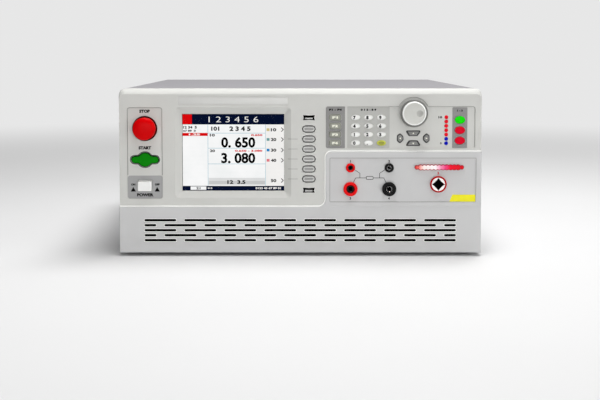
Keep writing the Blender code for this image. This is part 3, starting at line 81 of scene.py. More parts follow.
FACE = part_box("front_moulding_upper")[0].y
LOWER_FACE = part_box("front_moulding_lower")[0].y
RECESS_FLOOR = FACE + 0.0010  # floor of the two sunk fields
BAY_FLOOR = LOWER_FACE + 0.0005  # floor of the terminal bay
PRINT = 0.00006  # thickness of a print
FILM = 0.00018  # thickness of a film
KEY_LAP = 0.0011  # how far a key's hidden flange reaches beyond its cap
SOFT_KEY_LAP = 0.0018  # the same at a soft key
FINE = 0.0005  # a fine radius or line
LEAST = FINE / 5  # the least radius that is drawn
SLIVER = FINE / 20  # what a half round end keeps straight
CAPITALS = 0.72  # height of a capital, as a share of the size of its type
FLANGE_FRONT = FACE + 0.0033  # front of the hidden flanges
FLANGE_BACK = FACE + 0.0043  # back of the hidden flanges
SOCKET_FOOT = BAY_FLOOR - 0.0003  # where a socket's collar ends
HERE = (0.0, 0.0)  # middle of the front
FOLD = math.radians(32)  # a fold above this angle stays sharp


def shade(red: int, green: int, blue: int) -> Colour:
    """Turns a colour of 0 to 255 as a screen shows it into the linear colour of a shader."""
    shares = [value / 255 for value in (red, green, blue)]
    return tuple(s / 12.92 if s <= 0.04045 else ((s + 0.055) / 1.055) ** 2.4 for s in shares)


def mixed(colour: Colour, share: float) -> Colour:
    """Makes a colour darker or lighter by a share."""
    return tuple(min(1.0, value * share) for value in colour)


class Graph:
    """The node tree of a material or a world, with short calls for what the finishes share."""

    def __init__(self, owner: bpy.types.Material | bpy.types.World, shader: str = "Principled BSDF") -> None:
        """Starts the tree at its shader.

        Args:
            owner: what the tree belongs to.
            shader: name of its shader.
        """
        owner.use_nodes = True
        self.tree = owner.node_tree
        self.shader = self.tree.nodes[shader]

    def fill(self, node: bpy.types.Node, values: Mapping[str | int, object]) -> None:
        """Sets inputs of a node: another node's output is linked, anything else is a constant.

        Args:
            node: the node.
            values: what its inputs are set or linked to.
        """
        for key, value in values.items():
            if isinstance(value, Socket):
                self.tree.links.new(value, node.inputs[key])
            else:
                node.inputs[key].default_value = value

    def node(self, kind: str, values: Mapping[str | int, object], **settings: object) -> bpy.types.Node:
        """Adds a node.

        Args:
            kind: Blender's name for the node, after its first word.
            values: what its inputs are set or linked to.
            settings: properties of the node and their values.

        Returns:
            The new node.
        """
        made = self.tree.nodes.new(f"ShaderNode{kind}")
        for key, value in settings.items():
            setattr(made, key, value)
        self.fill(made, values)
        return made

    def shade(self, **values: object) -> None:
        """Sets the shader's own sockets, with underscores for the spaces of their names."""
        self.fill(self.shader, {key.replace("_", " "): value for key, value in values.items()})

    def place(self) -> Socket:
        """Gives the place on the object, in metres."""
        return self.node("TexCoord", {}).outputs["Object"]

    def noise(self, size: float, detail: float = 2.0, stretch: float = 1.0) -> Socket:
        """Adds a noise of soft spots of a size, with finer layers, denser along z by the stretch.

        Args:
            size: size of a spot.
            detail: how many finer layers it has.
            stretch: how much denser it is along z.

        Returns:
            The noise.
        """
        mapping = self.node("Mapping", {"Scale": (1, 1, stretch), "Vector": self.place()})
        values = {"Scale": 1 / size, "Detail": detail, "Vector": mapping.outputs["Vector"]}
        return self.node("TexNoise", values).outputs["Fac"]

    def ramp(self, factor: Socket, stops: Sequence[tuple[float, Colour]]) -> Socket:
        """Adds a colour ramp.

        Args:
            factor: what picks the colour.
            stops: the places and colours along the ramp.

        Returns:
            The picked colour.
        """
        ramp = self.node("ValToRGB", {"Fac": factor})
        elements = ramp.color_ramp.elements
        while len(elements) < len(stops):
            elements.new(0.5)
        for element, (position, colour) in zip(elements, stops):
            element.position = position
            element.color = (*colour, 1.0)
        return ramp.outputs["Color"]

    def relief(self, height: Socket, depth: float) -> None:
        """Lets a texture raise the surface by up to the given depth, in metres."""
        bump = self.node("Bump", {"Strength": 1.0, "Distance": depth, "Height": height})
        self.shade(Normal=bump.outputs["Normal"])

    def sheen(self, factor: Socket, low: float, high: float) -> None:
        """Varies the roughness between two values by a texture."""
        span = self.node("MapRange", {"To Min": low, "To Max": high, "Value": factor})
        self.shade(Roughness=span.outputs["Result"])


@dataclass(frozen=True)
class Finish:
    """A finish: one procedural material that is made once and shared."""

    name: str
    colour: Colour
    roughness: float = 0.5
    variation: float = 0.05
    grain: float = 0.0008
    depth: float = 0.00001
    mirror: float = 0.35
    detail: float = 1.0
    stretch: float = 1.0
    smoother: float = 0.05
    rougher: float = 0.05
    metallic: float = 0.0
    blotch: float = 40.0

    def material(self) -> bpy.types.Material:
        """Gives the finish's material."""
        return bpy.data.materials.get(self.name) or self.build()

    def build(self) -> bpy.types.Material:
        """Builds the material of this kind of finish.

        Returns:
            The material.
        """
        material = bpy.data.materials.new(self.name)
        graph = Graph(material)
        self.tint(graph)
        self.surface(graph)
        return material

    def mottle(self, graph: Graph, factor: Socket, low: float, high: float) -> None:
        """Lets a texture make the colour darker and lighter, between two places of its range.

        Args:
            graph: the material's node tree.
            factor: the texture.
            low: where it is darkest.
            high: where it is lightest.
        """
        shares = (low, 1 - self.variation), (high, 1 + self.variation)
        stops = [(place, mixed(self.colour, share)) for place, share in shares]
        graph.shade(Base_Color=graph.ramp(factor, stops))

    def tint(self, graph: Graph) -> None:
        """Mottles the colour softly, at a scale far wider than the grain."""
        self.mottle(graph, graph.noise(self.grain * self.blotch, 3.0), 0.3, 0.7)

    def surface(self, graph: Graph) -> None:
        """Gives the surface its grain and uneven sheen.

        Args:
            graph: the material's node tree.
        """
        grain = graph.noise(self.grain, self.detail, self.stretch)
        graph.relief(grain, self.depth)
        graph.sheen(grain, self.roughness - self.smoother, self.roughness + self.rougher)
        graph.shade(Specular_IOR_Level=self.mirror, Metallic=self.metallic)


@dataclass(frozen=True)
class Moulded(Finish):
    """Moulded plastic with the fine pebble of an eroded tool."""

    roughness: float = 0.55
    variation: float = 0.018
    grain: float = 0.0009
    depth: float = 0.00003
    smoother: float = 0.07
    rougher: float = 0.07
    haze: float = 60.0

    def surface(self, graph: Graph) -> None:
        """Gives a pebbled surface with a soft sheen.

        Args:
            graph: the material's node tree.
        """
        pebble = graph.node("TexVoronoi", {"Scale": 1 / self.grain, "Vector": graph.place()})
        graph.relief(pebble.outputs["Distance"], self.depth)
        haze = graph.noise(self.grain * self.haze, 4.0)
        graph.sheen(haze, self.roughness - self.smoother, self.roughness + self.rougher)
        graph.shade(Specular_IOR_Level=self.mirror)


@dataclass(frozen=True)
class Painted(Finish):
    """Sheet metal under baked paint, with the soft waves of its orange peel."""

    roughness: float = 0.42
    variation: float = 0.02
    grain: float = 0.0016
    depth: float = 0.00002
    detail: float = 3.0
    smoother: float = 0.06
    rougher: float = 0.06


@dataclass(frozen=True)
class Gloss(Finish):
    """Smooth bright plastic, as of caps and sockets, with faint polish marks."""

    roughness: float = 0.2
    variation: float = 0.03
    grain: float = 0.002
    depth: float = 0.000004
    mirror: float = 0.12
    detail: float = 2.0
    stretch: float = 6.0
    smoother: float = 0.04
    rougher: float = 0.08


@dataclass(frozen=True)
class Rubber(Finish):
    """Matt soft rubber with a slightly dusty surface."""

    roughness: float = 0.8
    variation: float = 0.1
    grain: float = 0.0006
    depth: float = 0.00004
    mirror: float = 0.25
    detail: float = 4.0
    smoother: float = 0.1
    rougher: float = 0.15


@dataclass(frozen=True)
class Metal(Finish):
    """Bare or plated metal, brushed along one axis."""

    roughness: float = 0.3
    variation: float = 0.08
    grain: float = 0.0004
    depth: float = 0.000004
    mirror: float = 0.5
    detail: float = 3.0
    stretch: float = 12.0
    smoother: float = 0.1
    rougher: float = 0.1
    metallic: float = 1.0


@dataclass(frozen=True)
class Galvanised(Finish):
    """Zinc coated sheet with its spangle of crystals."""

    roughness: float = 0.42
    variation: float = 0.16
    grain: float = 0.008
    metallic: float = 0.9

    def tint(self, graph: Graph) -> None:
        """Gives each crystal its own grey.

        Args:
            graph: the material's node tree.
        """
        spangle = graph.node("TexVoronoi", {"Scale": 1 / self.grain, "Vector": graph.place()})
        grey = graph.node("SeparateColor", {"Color": spangle.outputs["Color"]})
        self.mottle(graph, grey.outputs["Red"], 0.0, 1.0)


@dataclass(frozen=True)
class Laminate(Finish):
    """Circuit board: solder mask over copper tracks."""

    tracks: Colour = (0.03, 0.2, 0.07)
    roughness: float = 0.35
    grain: float = 0.0025

    def tint(self, graph: Graph) -> None:
        """Lays a maze of tracks under the mask.

        Args:
            graph: the material's node tree.
        """
        values = {"Scale": 0.25 / self.grain, "Mortar Size": 0.06, "Vector": graph.place()}
        colours = {"Color1": self.colour, "Color2": mixed(self.colour, 0.8), "Mortar": self.tracks}
        values |= {key: (*colour, 1.0) for key, colour in colours.items()}
        maze = graph.node("TexBrick", values, offset=0.37, squash=0.6, squash_frequency=3)
        graph.shade(Base_Color=maze.outputs["Color"])


@dataclass(frozen=True)
class Ink(Finish):
    """Screen printed ink, with the slight unevenness of its mesh."""

    roughness: float = 0.6
    variation: float = 0.06
    grain: float = 0.0003
    depth: float = 0.000006
    mirror: float = 0.04


@dataclass(frozen=True)
class Clear(Finish):
    """A clear window with a coating against reflections."""

    roughness: float = 0.01
    index: float = 1.04

    def surface(self, graph: Graph) -> None:
        """Lets light through, with faint wiping marks."""
        graph.sheen(graph.noise(0.02, 4.0, 3.0), 0.0, self.roughness * 2)
        graph.shade(Transmission_Weight=1.0, IOR=self.index)


@dataclass(frozen=True)
class Glow(Finish):
    """A lit area of the screen, drawn by its fine rows of cells."""

    cell: float = 0.00025
    bands: float = 20.0
    mirror: float = 0.0

    def tint(self, graph: Graph) -> None:
        """Lights the cells, a little darker between their rows.

        Args:
            graph: the material's node tree.
        """
        values = {"Scale": 1 / self.cell / self.bands, "Vector": graph.place()}
        rows = graph.node("TexWave", values, bands_direction="Z")
        light = graph.ramp(rows.outputs["Fac"], ((0.0, mixed(self.colour, 0.96)), (1.0, self.colour)))
        graph.shade(Emission_Color=light, Base_Color=(0.0, 0.0, 0.0, 1.0), Emission_Strength=1.0)


@dataclass(frozen=True)
class Graded(Finish):
    """A translucent lens whose colour changes along x; where the run turns white it is a painted highlight.
    """

    stops: tuple[tuple[float, Colour], ...] = ()
    left: float = 0.0
    right: float = 1.0
    glow: float = 0.05
    mirror: float = 0.15

    def tint(self, graph: Graph) -> None:
        """Runs the colours from the left end of the lens to the right one.

        Args:
            graph: the material's node tree.
        """
        along = graph.node("SeparateXYZ", {"Vector": graph.place()}).outputs["X"]
        share = graph.node("MapRange", {"From Min": self.left, "From Max": self.right, "Value": along})
        colour = graph.ramp(share.outputs["Result"], self.stops)
        graph.shade(Base_Color=colour, Emission_Color=colour, Emission_Strength=self.glow)


def drawn(draw: Callable[..., list[Point]]) -> Callable[..., Outline]:
    """Turns a function of an inset and sizes into one of the sizes that gives an outline.

    Args:
        draw: the function.

    Returns:
        What makes an outline from the sizes.
    """

    def sized(*sizes: object) -> Outline:
        """Holds the sizes, so that the outline only takes an inset."""
        return lambda inset=0.0: draw(inset, *sizes)

    return sized


def arc(centre: Point, radius: float, start: float, stop: float, steps: int) -> list[Point]:
    """Gives points along an arc, angles in degrees, both ends included."""
    angles = [math.radians(start + (stop - start) * step / steps) for step in range(steps + 1)]
    return [(centre[0] + radius * math.cos(a), centre[1] + radius * math.sin(a)) for a in angles]


@drawn
def oval(inset: float, width: float, height: float, steps: int = 48) -> list[Point]:
    """Draws an ellipse round the origin."""
    angles = [2 * math.pi * step / steps for step in range(steps)]
    return [((width / 2 - inset) * math.cos(a), (height / 2 - inset) * math.sin(a)) for a in angles]


def disc(diameter: float, steps: int = 64) -> Outline:
    """Draws a circle round the origin."""
    return oval(diameter, diameter, steps)


@drawn
def bar(inset: float, width: float, height: float, radius: float, steps: int = 8) -> list[Point]:
    """Draws a rectangle with rounded corners round the origin.

    Args:
        inset: how far it is drawn in.
        width: its width.
        height: its height.
        radius: radius of its corners.
        steps: steps round each corner.

    Returns:
        The outline's points.
    """
    bend = max(radius - inset, LEAST)
    x, z = width / 2 - inset - bend, height / 2 - inset - bend
    places = ((x, -z, -90), (x, z, 0), (-x, z, 90), (-x, -z, 180))
    return [point for cx, cz, start in places for point in arc((cx, cz), bend, start, start + 90, steps)]


def stadium(width: float, height: float) -> Outline:
    """Draws a bar with half round ends."""
    return bar(width, height, height / 2 - SLIVER, 12)


def between(sides: Sides, radius: float) -> tuple[Outline, Point]:
    """Draws a bar from its left, right, low and high side, and gives its middle."""
    left, right, low, high = sides
    return bar(right - left, high - low, radius), ((left + right) / 2, (low + high) / 2)


@drawn
def rounded(inset: float, corners: Sequence[tuple[float, float, float]], steps: int = 6) -> list[Point]:
    """Draws a polygon with rounded corners.

    Args:
        inset: how far it is drawn in.
        corners: each corner as (x, z, radius), anticlockwise.
        steps: points on each corner.

    Returns:
        The outline's points.
    """
    sides = []
    for index, corner in enumerate(corners):
        start = Vector(corner[:2])
        along = (Vector(corners[(index + 1) % len(corners)][:2]) - start).normalized()
        inward = Vector((-along.y, along.x))
        sides.append((start + inward * inset, along, inward))
    points = []
    for index, corner in enumerate(corners):
        before, way_in, inward = sides[index - 1]
        after, way_out, _ = sides[index]
        turn = way_in.cross(way_out)
        tip = before + way_in * ((after - before).cross(way_out) / turn)
        bend = math.copysign(1.0, turn)
        radius = max(corner[2] - bend * inset, LEAST)
        angle = math.acos(max(-1.0, min(1.0, way_in.dot(way_out))))
        centre = tip - way_in * (radius * math.tan(angle / 2)) + inward * (bend * radius)
        first = math.degrees(math.atan2(-bend * inward.y, -bend * inward.x))
        points += arc(centre, radius, first, first + bend * math.degrees(angle), steps)
    return points


@drawn
def winged(inset: float, length: float, arm: float, hub: float, fillet: float) -> list[Point]:
    """Draws a bar with round ends through a round hub, blended by hollow fillets.

    Args:
        inset: how far it is drawn in.
        length: length of the bar.
        arm: width of the bar.
        hub: diameter of the hub.
        fillet: radius of the fillets.

    Returns:
        The outline's points.
    """
    half, radius, blend, steps = arm / 2 - inset, hub / 2 - inset, fillet + inset, 10
    reach = length / 2 - arm / 2
    blend_x = math.sqrt((radius + blend) ** 2 - (half + blend) ** 2)
    lean = math.degrees(math.atan2(half + blend, blend_x))
    end = arc((reach, 0), half, -90, 90, 2 * steps)
    dip = arc((blend_x, half + blend), blend, 270, 180 + lean, steps)
    crown = arc((0, 0), radius, lean, 180 - lean, 2 * steps)[1:-1]
    upper = end + dip + crown + [(-x, z) for x, z in reversed(dip)]
    left_end = arc((-reach, 0), half, 90, 270, 2 * steps)
    return upper + left_end + [(-x, -z) for x, z in dip + crown] + [(x, -z) for x, z in reversed(dip)]


@drawn
def star(inset: float, across: float, power: float, steps: int = 64) -> list[Point]:
    """Draws a four-pointed star with hollow sides.

    Args:
        inset: how far it is drawn in.
        across: distance between opposite tips.
        power: how full its sides are.
        steps: how many points it has.

    Returns:
        The outline's points.
    """
    turns = [2 * math.pi * step / steps for step in range(steps)]
    pairs = [(math.cos(turn), math.sin(turn)) for turn in turns]
    reach = across / 2 - inset
    return [tuple(reach * math.copysign(abs(side) ** (2 / power), side) for side in pair) for pair in pairs]


@drawn
def lobed_bar(inset: float, count: int, pitch: float, radius: float, end_radius: float) -> list[Point]:
    """Draws a row of overlapping discs, the end ones smaller, as one scalloped bar.

    Args:
        inset: how far it is drawn in.
        count: how many discs.
        pitch: distance between their middles.
        radius: radius of an inner disc.
        end_radius: radius of the two end ones.

    Returns:
        The outline's points.
    """
    radii = [end_radius - inset] + [radius - inset] * (count - 2) + [end_radius - inset]
    upper = []
    for index in reversed(range(count)):
        limits = [0.0, 180.0]
        for side, other in enumerate((index + 1, index - 1)):
            if 0 <= other < count:
                cross = (pitch**2 + radii[index] ** 2 - radii[other] ** 2) / (2 * pitch)
                limits[side] = abs(180 * side - math.degrees(math.acos(cross / radii[index])))
        lobe = arc((pitch * (index - (count - 1) / 2), 0), radii[index], *limits, 10)
        upper += lobe if index == count - 1 else lobe[1:]
    return upper + [(x, -z) for x, z in reversed(upper[1:-1])]


def grown(outline: Outline, reach: float) -> Outline:
    """Gives an outline that lies outside another one by the given reach."""
    return lambda inset=0.0: outline(inset - reach)


def moved(outline: Outline, place: Point) -> list[Point]:
    """Gives an outline's points at a place on the front."""
    return [(x + place[0], z + place[1]) for x, z in outline()]


def edge(y: float, inset: float, radius: float, steps: int = 6) -> list[Station]:
    """Gives the stations of a rounded front edge, from its side to its flat face.

    Args:
        y: where the face lies.
        inset: how far in the side lies.
        radius: radius of the edge.
        steps: stations along it.

    Returns:
        Pairs of y and inset.
    """
    angles = [math.pi / 2 * step / steps for step in range(steps + 1)]
    return [(y + radius * (1 - math.sin(a)), inset + radius * (1 - math.cos(a))) for a in angles]


def put(name: str, data: bpy.types.ID) -> bpy.types.Object:
    """Puts a new object with the given data into the scene.

    Args:
        name: its name.
        data: what it shows.

    Returns:
        The object.
    """
    thing = bpy.data.objects.new(name, data)
    bpy.context.scene.collection.objects.link(thing)
    return thing


def stored(name: str, mesh: Shape) -> bpy.types.Mesh:
    """Turns built faces into a mesh.

    Args:
        name: name of the mesh.
        mesh: the faces, which are let go.

    Returns:
        The mesh.
    """
    data = bpy.data.meshes.new(name)
    mesh.to_mesh(data)
    mesh.free()
    return data


def evaluated(thing: bpy.types.Object) -> bpy.types.Mesh:
    """Gives the mesh that an object's modifiers or curves come to."""
    bpy.context.view_layer.update()
    return bpy.data.meshes.new_from_object(thing.evaluated_get(bpy.context.evaluated_depsgraph_get()))


def smooth(data: bpy.types.Mesh) -> None:
    """Shades a mesh smooth, apart from its folds."""
    data.shade_smooth()
    data.set_sharp_from_angle(angle=FOLD)


def settle(
    name: str, mesh: Shape, finishes: Sequence[Finish], slot: str, body: str = "case", node: str = ""
) -> bpy.types.Object:
    """Turns built faces into a piece that rides on a body.

    Args:
        name: name of the piece.
        mesh: its faces.
        finishes: its finishes, in the order of its faces' material numbers.
        slot: the record's slot that its finish comes from; not used.
        body: the body that it rides on.
        node: the CAD node that it stands for, if it does.

    Returns:
        The new piece.
    """
    bmesh.ops.recalc_face_normals(mesh, faces=mesh.faces)
    data = stored(name, mesh)
    smooth(data)
    for finish in finishes:
        data.materials.append(finish.material())
    piece = put(name, data)
    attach(piece, body)
    if node:
        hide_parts(node)
    MADE.append(name)
    return piece


def ring_of(mesh: Shape, points: Sequence[Point], y: float, place: Point) -> list[bmesh.types.BMVert]:
    """Adds a ring of vertices, drawn round a place on the front."""
    return [mesh.verts.new((x + place[0], y, z + place[1])) for x, z in points]


def skin(
    mesh: Shape, rings: Sequence[list[bmesh.types.BMVert]], capped: bool, material: int = 0
) -> list[bmesh.types.BMFace]:
    """Joins rings of vertices by faces.

    Args:
        mesh: what they are added to.
        rings: the rings, of as many vertices each.
        capped: whether the end rings are closed, or else joined to each other.
        material: number of the faces' finish.

    Returns:
        The faces, ring by ring, with the first end and the last end after them.
    """
    faces = []
    for near, far in zip(rings, rings[1:] if capped else [*rings[1:], rings[0]]):
        for index in range(len(near)):
            after = (index + 1) % len(near)
            faces.append(mesh.faces.new((near[index], near[after], far[after], far[index])))
    if capped:
        faces += [mesh.faces.new(rings[0][::-1]), mesh.faces.new(rings[-1])]
    for face in faces:
        face.material_index = material
    return faces


def add_loft(
    mesh: Shape, outline: Outline, stations: Sequence[Station], place: Point = HERE, material: int = 0
) -> list[bmesh.types.BMFace]:
    """Adds a closed body through an outline drawn at each station.

    Args:
        mesh: what it is added to.
        outline: the outline.
        stations: pairs of y and inset, from one end of the body to the other.
        place: middle of the body on the front.
        material: number of the body's finish.

    Returns:
        The faces, as skin gives them.
    """
    rings = [ring_of(mesh, outline(inset), y, place) for y, inset in stations]
    return skin(mesh, rings, True, material)


def add_tube(mesh: Shape, profile: Sequence[tuple[list[Point], float]], place: Point, material: int) -> None:
    """Adds a closed tube round a place, whose wall runs through outlines, each with its y."""
    skin(mesh, [ring_of(mesh, points, y, place) for points, y in profile], False, material)


def add_ring(
    mesh: Shape,
    outer: Outline,
    inner: Outline,
    span: Point,
    place: Point,
    material: int = 0,
    bevel: float = 0.0,
) -> None:
    """Adds a flat ring between two outlines with the same number of points.

    Args:
        mesh: what it is added to.
        outer: outline of its outside.
        inner: outline of its hole.
        span: y of its front and of its back.
        place: middle of the ring on the front.
        material: number of the ring's finish.
        bevel: how far its two front edges are broken.
    """
    front, back = span
    outside, inside = (outer(), back), (inner(), back)
    rims = [(outer(bevel), front), (inner(-bevel), front)]
    if bevel:
        rims = [(outer(), front + bevel), *rims, (inner(), front + bevel)]
    add_tube(mesh, [outside, *rims, inside], place, material)


def flattened(curve: bpy.types.Curve, depth: float) -> bpy.types.Mesh:
    """Turns a filled curve or lettering into a mesh that stands on the plane y = 0.

    Args:
        curve: the curve, drawn on the ground plane.
        depth: its thickness.

    Returns:
        A mesh with its back at 0 and its front at -depth.
    """
    curve.extrude = depth / 2
    helper = put("flat", curve)
    data = evaluated(helper)
    bpy.data.objects.remove(helper, do_unlink=True)
    bpy.data.curves.remove(curve)
    for vertex in data.vertices:
        x, z, forward = vertex.co
        vertex.co = (x, -forward - depth / 2, z)
    return data


def filled(loops: Sequence[Sequence[Point]], depth: float = PRINT) -> bpy.types.Mesh:
    """Fills outlines, given as points on the front, with the inner ones as holes.

    Args:
        loops: the outlines.
        depth: thickness.

    Returns:
        A flat mesh.
    """
    curve = bpy.data.curves.new("flat", "CURVE")
    curve.dimensions = "2D"
    curve.fill_mode = "BOTH"
    for loop in loops:
        spline = curve.splines.new("POLY")
        spline.points.add(len(loop) - 1)
        spline.use_cyclic_u = True
        for point, (x, z) in zip(spline.points, loop):
            point.co = (x, z, 0.0, 1.0)
    return flattened(curve, depth)


def lettering(
    text: str, height: float, width: float = 0.0, weight: float = 0.0, depth: float = PRINT
) -> bpy.types.Mesh:
    """Draws a plain word or number round the origin.

    Args:
        text: what it says.
        height: height of its capitals.
        width: width that it is fitted to, or 0 for its own.
        weight: how much its strokes are thickened, as a share of its height.
        depth: thickness.

    Returns:
        A flat mesh.
    """
    curve = bpy.data.curves.new("flat", "FONT")
    curve.body = text
    curve.size = height / CAPITALS
    curve.offset = weight * height
    curve.resolution_u = 3
    data = flattened(curve, depth)
    lows = [min(vertex.co[axis] for vertex in data.vertices) for axis in (0, 2)]
    highs = [max(vertex.co[axis] for vertex in data.vertices) for axis in (0, 2)]
    stretch = width / (highs[0] - lows[0]) if width else 1.0
    for vertex in data.vertices:
        vertex.co.x = (vertex.co.x - (lows[0] + highs[0]) / 2) * stretch
        vertex.co.z -= height / 2 if lows[1] > -height / 4 else (lows[1] + highs[1]) / 2
    return data


def stroke(start: Point, stop: Point, width: float, depth: float = PRINT) -> Flat:
    """Draws a straight line with round ends between two places on the front.

    Args:
        start: one place.
        stop: the other place.
        width: width of the line.
        depth: thickness.

    Returns:
        The flat mesh and its place.
    """
    along = Vector(stop) - Vector(start)
    lean = math.degrees(math.atan2(along.y, along.x))
    points = arc(stop, width / 2, lean - 90, lean + 90, 6) + arc(start, width / 2, lean + 90, lean + 270, 6)
    return filled([points], depth), HERE


def printed(
    name: str,
    finish: Finish,
    flats: Sequence[Flat],
    y: float,
    slot: str = "moulding_grey",
    body: str = "case",
) -> None:
    """Lays flat meshes on a surface as one piece.

    Args:
        name: name of the piece.
        finish: its finish.
        flats: each flat mesh and its place on the front.
        y: where the surface lies.
        slot: the record's slot that its finish comes from.
        body: the body that it rides on.
    """
    mesh = bmesh.new()
    for data, place in flats:
        known = len(mesh.verts)
        mesh.from_mesh(data)
        bmesh.ops.translate(mesh, vec=(place[0], y, place[1]), verts=mesh.verts[known:])
        bpy.data.meshes.remove(data)
    settle(name, mesh, [finish], slot, body)


def ridge(name: str, finish: Finish, path: Sequence[Point], width: float, span: Point) -> None:
    """Makes a half round ridge along a path on the front.

    Args:
        name: name of the ridge.
        finish: its finish.
        path: points along its middle.
        width: its width.
        span: y of its back and of its crest.
    """
    middles = [Vector(point) for point in path]
    runs = [(after - before).normalized() for before, after in zip(middles, middles[1:])]
    runs = [runs[0], *runs, runs[-1]]
    half = [(-1.0, 0.0), (-0.8, 0.6), (-0.45, 0.9)]
    profile = [*half, (0.0, 1.0), *[(-share, rise) for share, rise in reversed(half)]]
    mesh = bmesh.new()
    rings = []
    for centre, before, after in zip(middles, runs, runs[1:]):
        along = (before + after).normalized()
        side = Vector((-along.y, along.x)) * (width / 2 / along.dot(after))
        spots = [(centre + side * share, span[0] + (span[1] - span[0]) * rise) for share, rise in profile]
        rings.append([mesh.verts.new((spot.x, y, spot.y)) for spot, y in spots])
    skin(mesh, rings, True)
    settle(name, mesh, [finish], "lower_moulding_grey")


MATT = partial(Moulded, grain=0.0005)
SATIN = partial(Painted, grain=0.0006)

UPPER_PLASTIC = Moulded("upper_plastic", shade(201, 201, 197))
LOWER_PLASTIC = Moulded("lower_plastic", shade(197, 197, 197))
# Painted highlight: near white plastic on the bead along the split and on the vent lips, standing for the
# light that these ridges catch.
PAINTED_HIGHLIGHT_PLASTIC = Moulded("painted_highlight_plastic", shade(246, 246, 243), roughness=0.4)
# Painted shadow: a dark line along the foot of each recess wall.
FIELD_SHADOW_LINE = MATT("field_seam", shade(140, 140, 137))
SWITCH_FILM = SATIN("switch_film", shade(158, 158, 158))
DARK_FILM = SATIN("dark_film", shade(136, 135, 134))
PALE_FILM = SATIN("pale_film", shade(178, 178, 174))
PLATE_FILM = SATIN("plate_film", shade(208, 208, 205))
COVER_PAINT = Painted("cover_enamel", shade(150, 148, 152))
REAR_PAINT = Painted("rear_enamel", shade(178, 178, 180))
ZINC = Galvanised("zinc_spangle", shade(196, 200, 204))
CHROME = Metal("bright_plating", shade(225, 225, 225), roughness=0.22)
# Painted shade: dark metal in the red sockets' bores.
SLEEVE_SHADE = Metal("socket_sleeve_shade", shade(84, 84, 84), roughness=0.4)
STEEL = Metal("core_laminations", shade(120, 122, 126), grain=0.0003)
STOP_RED = Gloss("stop_red_gloss", shade(206, 0, 4), roughness=0.3, mirror=0.05)
# Painted shade: the collar is dark red for the shade in the gap round the stop cap.
STOP_COLLAR_SHADE = Gloss("stop_collar_shade_red", shade(58, 0, 0), roughness=0.5, mirror=0.05)
START_GREEN = Gloss("start_green_gloss", shade(0, 132, 0), roughness=0.42, mirror=0.06)
# Painted shadow: the cap is dark green; its bright face is printed low on it, leaving a dark band along its
# top.
START_EDGE_SHADE = Gloss("start_edge_shade_green", shade(0, 52, 2), roughness=0.6, mirror=0.05)
START_SHADOW = Gloss("start_shadow", shade(40, 62, 40), roughness=0.6)
POWER_WHITE = Gloss("power_cap_white", shade(238, 238, 236), roughness=0.3)
SOFT_RIM = MATT("soft_key_rim", shade(192, 192, 190))
SOFT_BAR = MATT("soft_key_bar", shade(154, 154, 152))
# Painted shade on the soft keys' flanges and in their grooves.
SOFT_KEY_GROOVE_SHADE = MATT("soft_key_shade", shade(84, 84, 82), mirror=0.1)
# Painted highlight: a ring a little lighter than the moulding round the soft keys, round the start opening
# and on the port bezels.
HIGHLIGHT_HALO = MATT("soft_key_collar", shade(206, 206, 203))
FUNCTION_CAP = MATT("function_cap", shade(146, 147, 137))
DIGIT_CAP = MATT("digit_cap", shade(236, 236, 233))
ENTER_RIM = MATT("enter_rim", shade(203, 208, 76))
ENTER_CAP = MATT("enter_cap", shade(150, 152, 60))
ARROW_CAP = MATT("arrow_cap", shade(132, 132, 130))
ARROW_EDGE = MATT("arrow_edge", shade(64, 64, 64))
KNOB_CAP = Gloss("knob_cap", shade(203, 203, 198), roughness=0.38)
# Painted highlight on the knob's rounded rim.
KNOB_RIM_HIGHLIGHT = Gloss("knob_rim_highlight", shade(248, 248, 246), roughness=0.3, mirror=0.5)
# Painted shade: the skirt is darker for the shade in the well round the knob.
KNOB_SKIRT_SHADE = Gloss("knob_skirt_shade", shade(118, 118, 115), roughness=0.45)
KNOB_DIMPLE = Gloss("knob_dimple", shade(182, 182, 178), roughness=0.45)
RESULT_GREEN = Gloss("result_green", shade(14, 222, 0), roughness=0.35, mirror=0.05)
RESULT_RED = Gloss("result_red", shade(216, 0, 38), roughness=0.35, mirror=0.05)
RESULT_RIM = MATT("result_rim", shade(120, 118, 116))
LAMP_RED = Gloss("lamp_red_lens", shade(224, 0, 30), mirror=0.08)
LAMP_BLUE = Gloss("lamp_blue_lens", shade(0, 14, 176), mirror=0.08)
SOCKET_RED = Gloss("socket_red", shade(222, 4, 8), roughness=0.3)
SOCKET_BLACK = Gloss("socket_black", shade(14, 14, 14), roughness=0.3)
HIGH_RED = Gloss("high_socket_red", shade(174, 6, 10), roughness=0.35, mirror=0.06)
STRIP_EDGE = Gloss("strip_edge", shade(170, 22, 52), roughness=0.3, mirror=0.05)
INSULATOR = Gloss("insulator", shade(250, 248, 246), roughness=0.35)
# Painted shade: a black sheet in the vents that stands for the shade inside them.
VENT_SHADE_SHEET = Rubber("vent_shade_sheet", shade(5, 5, 5), grain=0.0004, mirror=0.0)
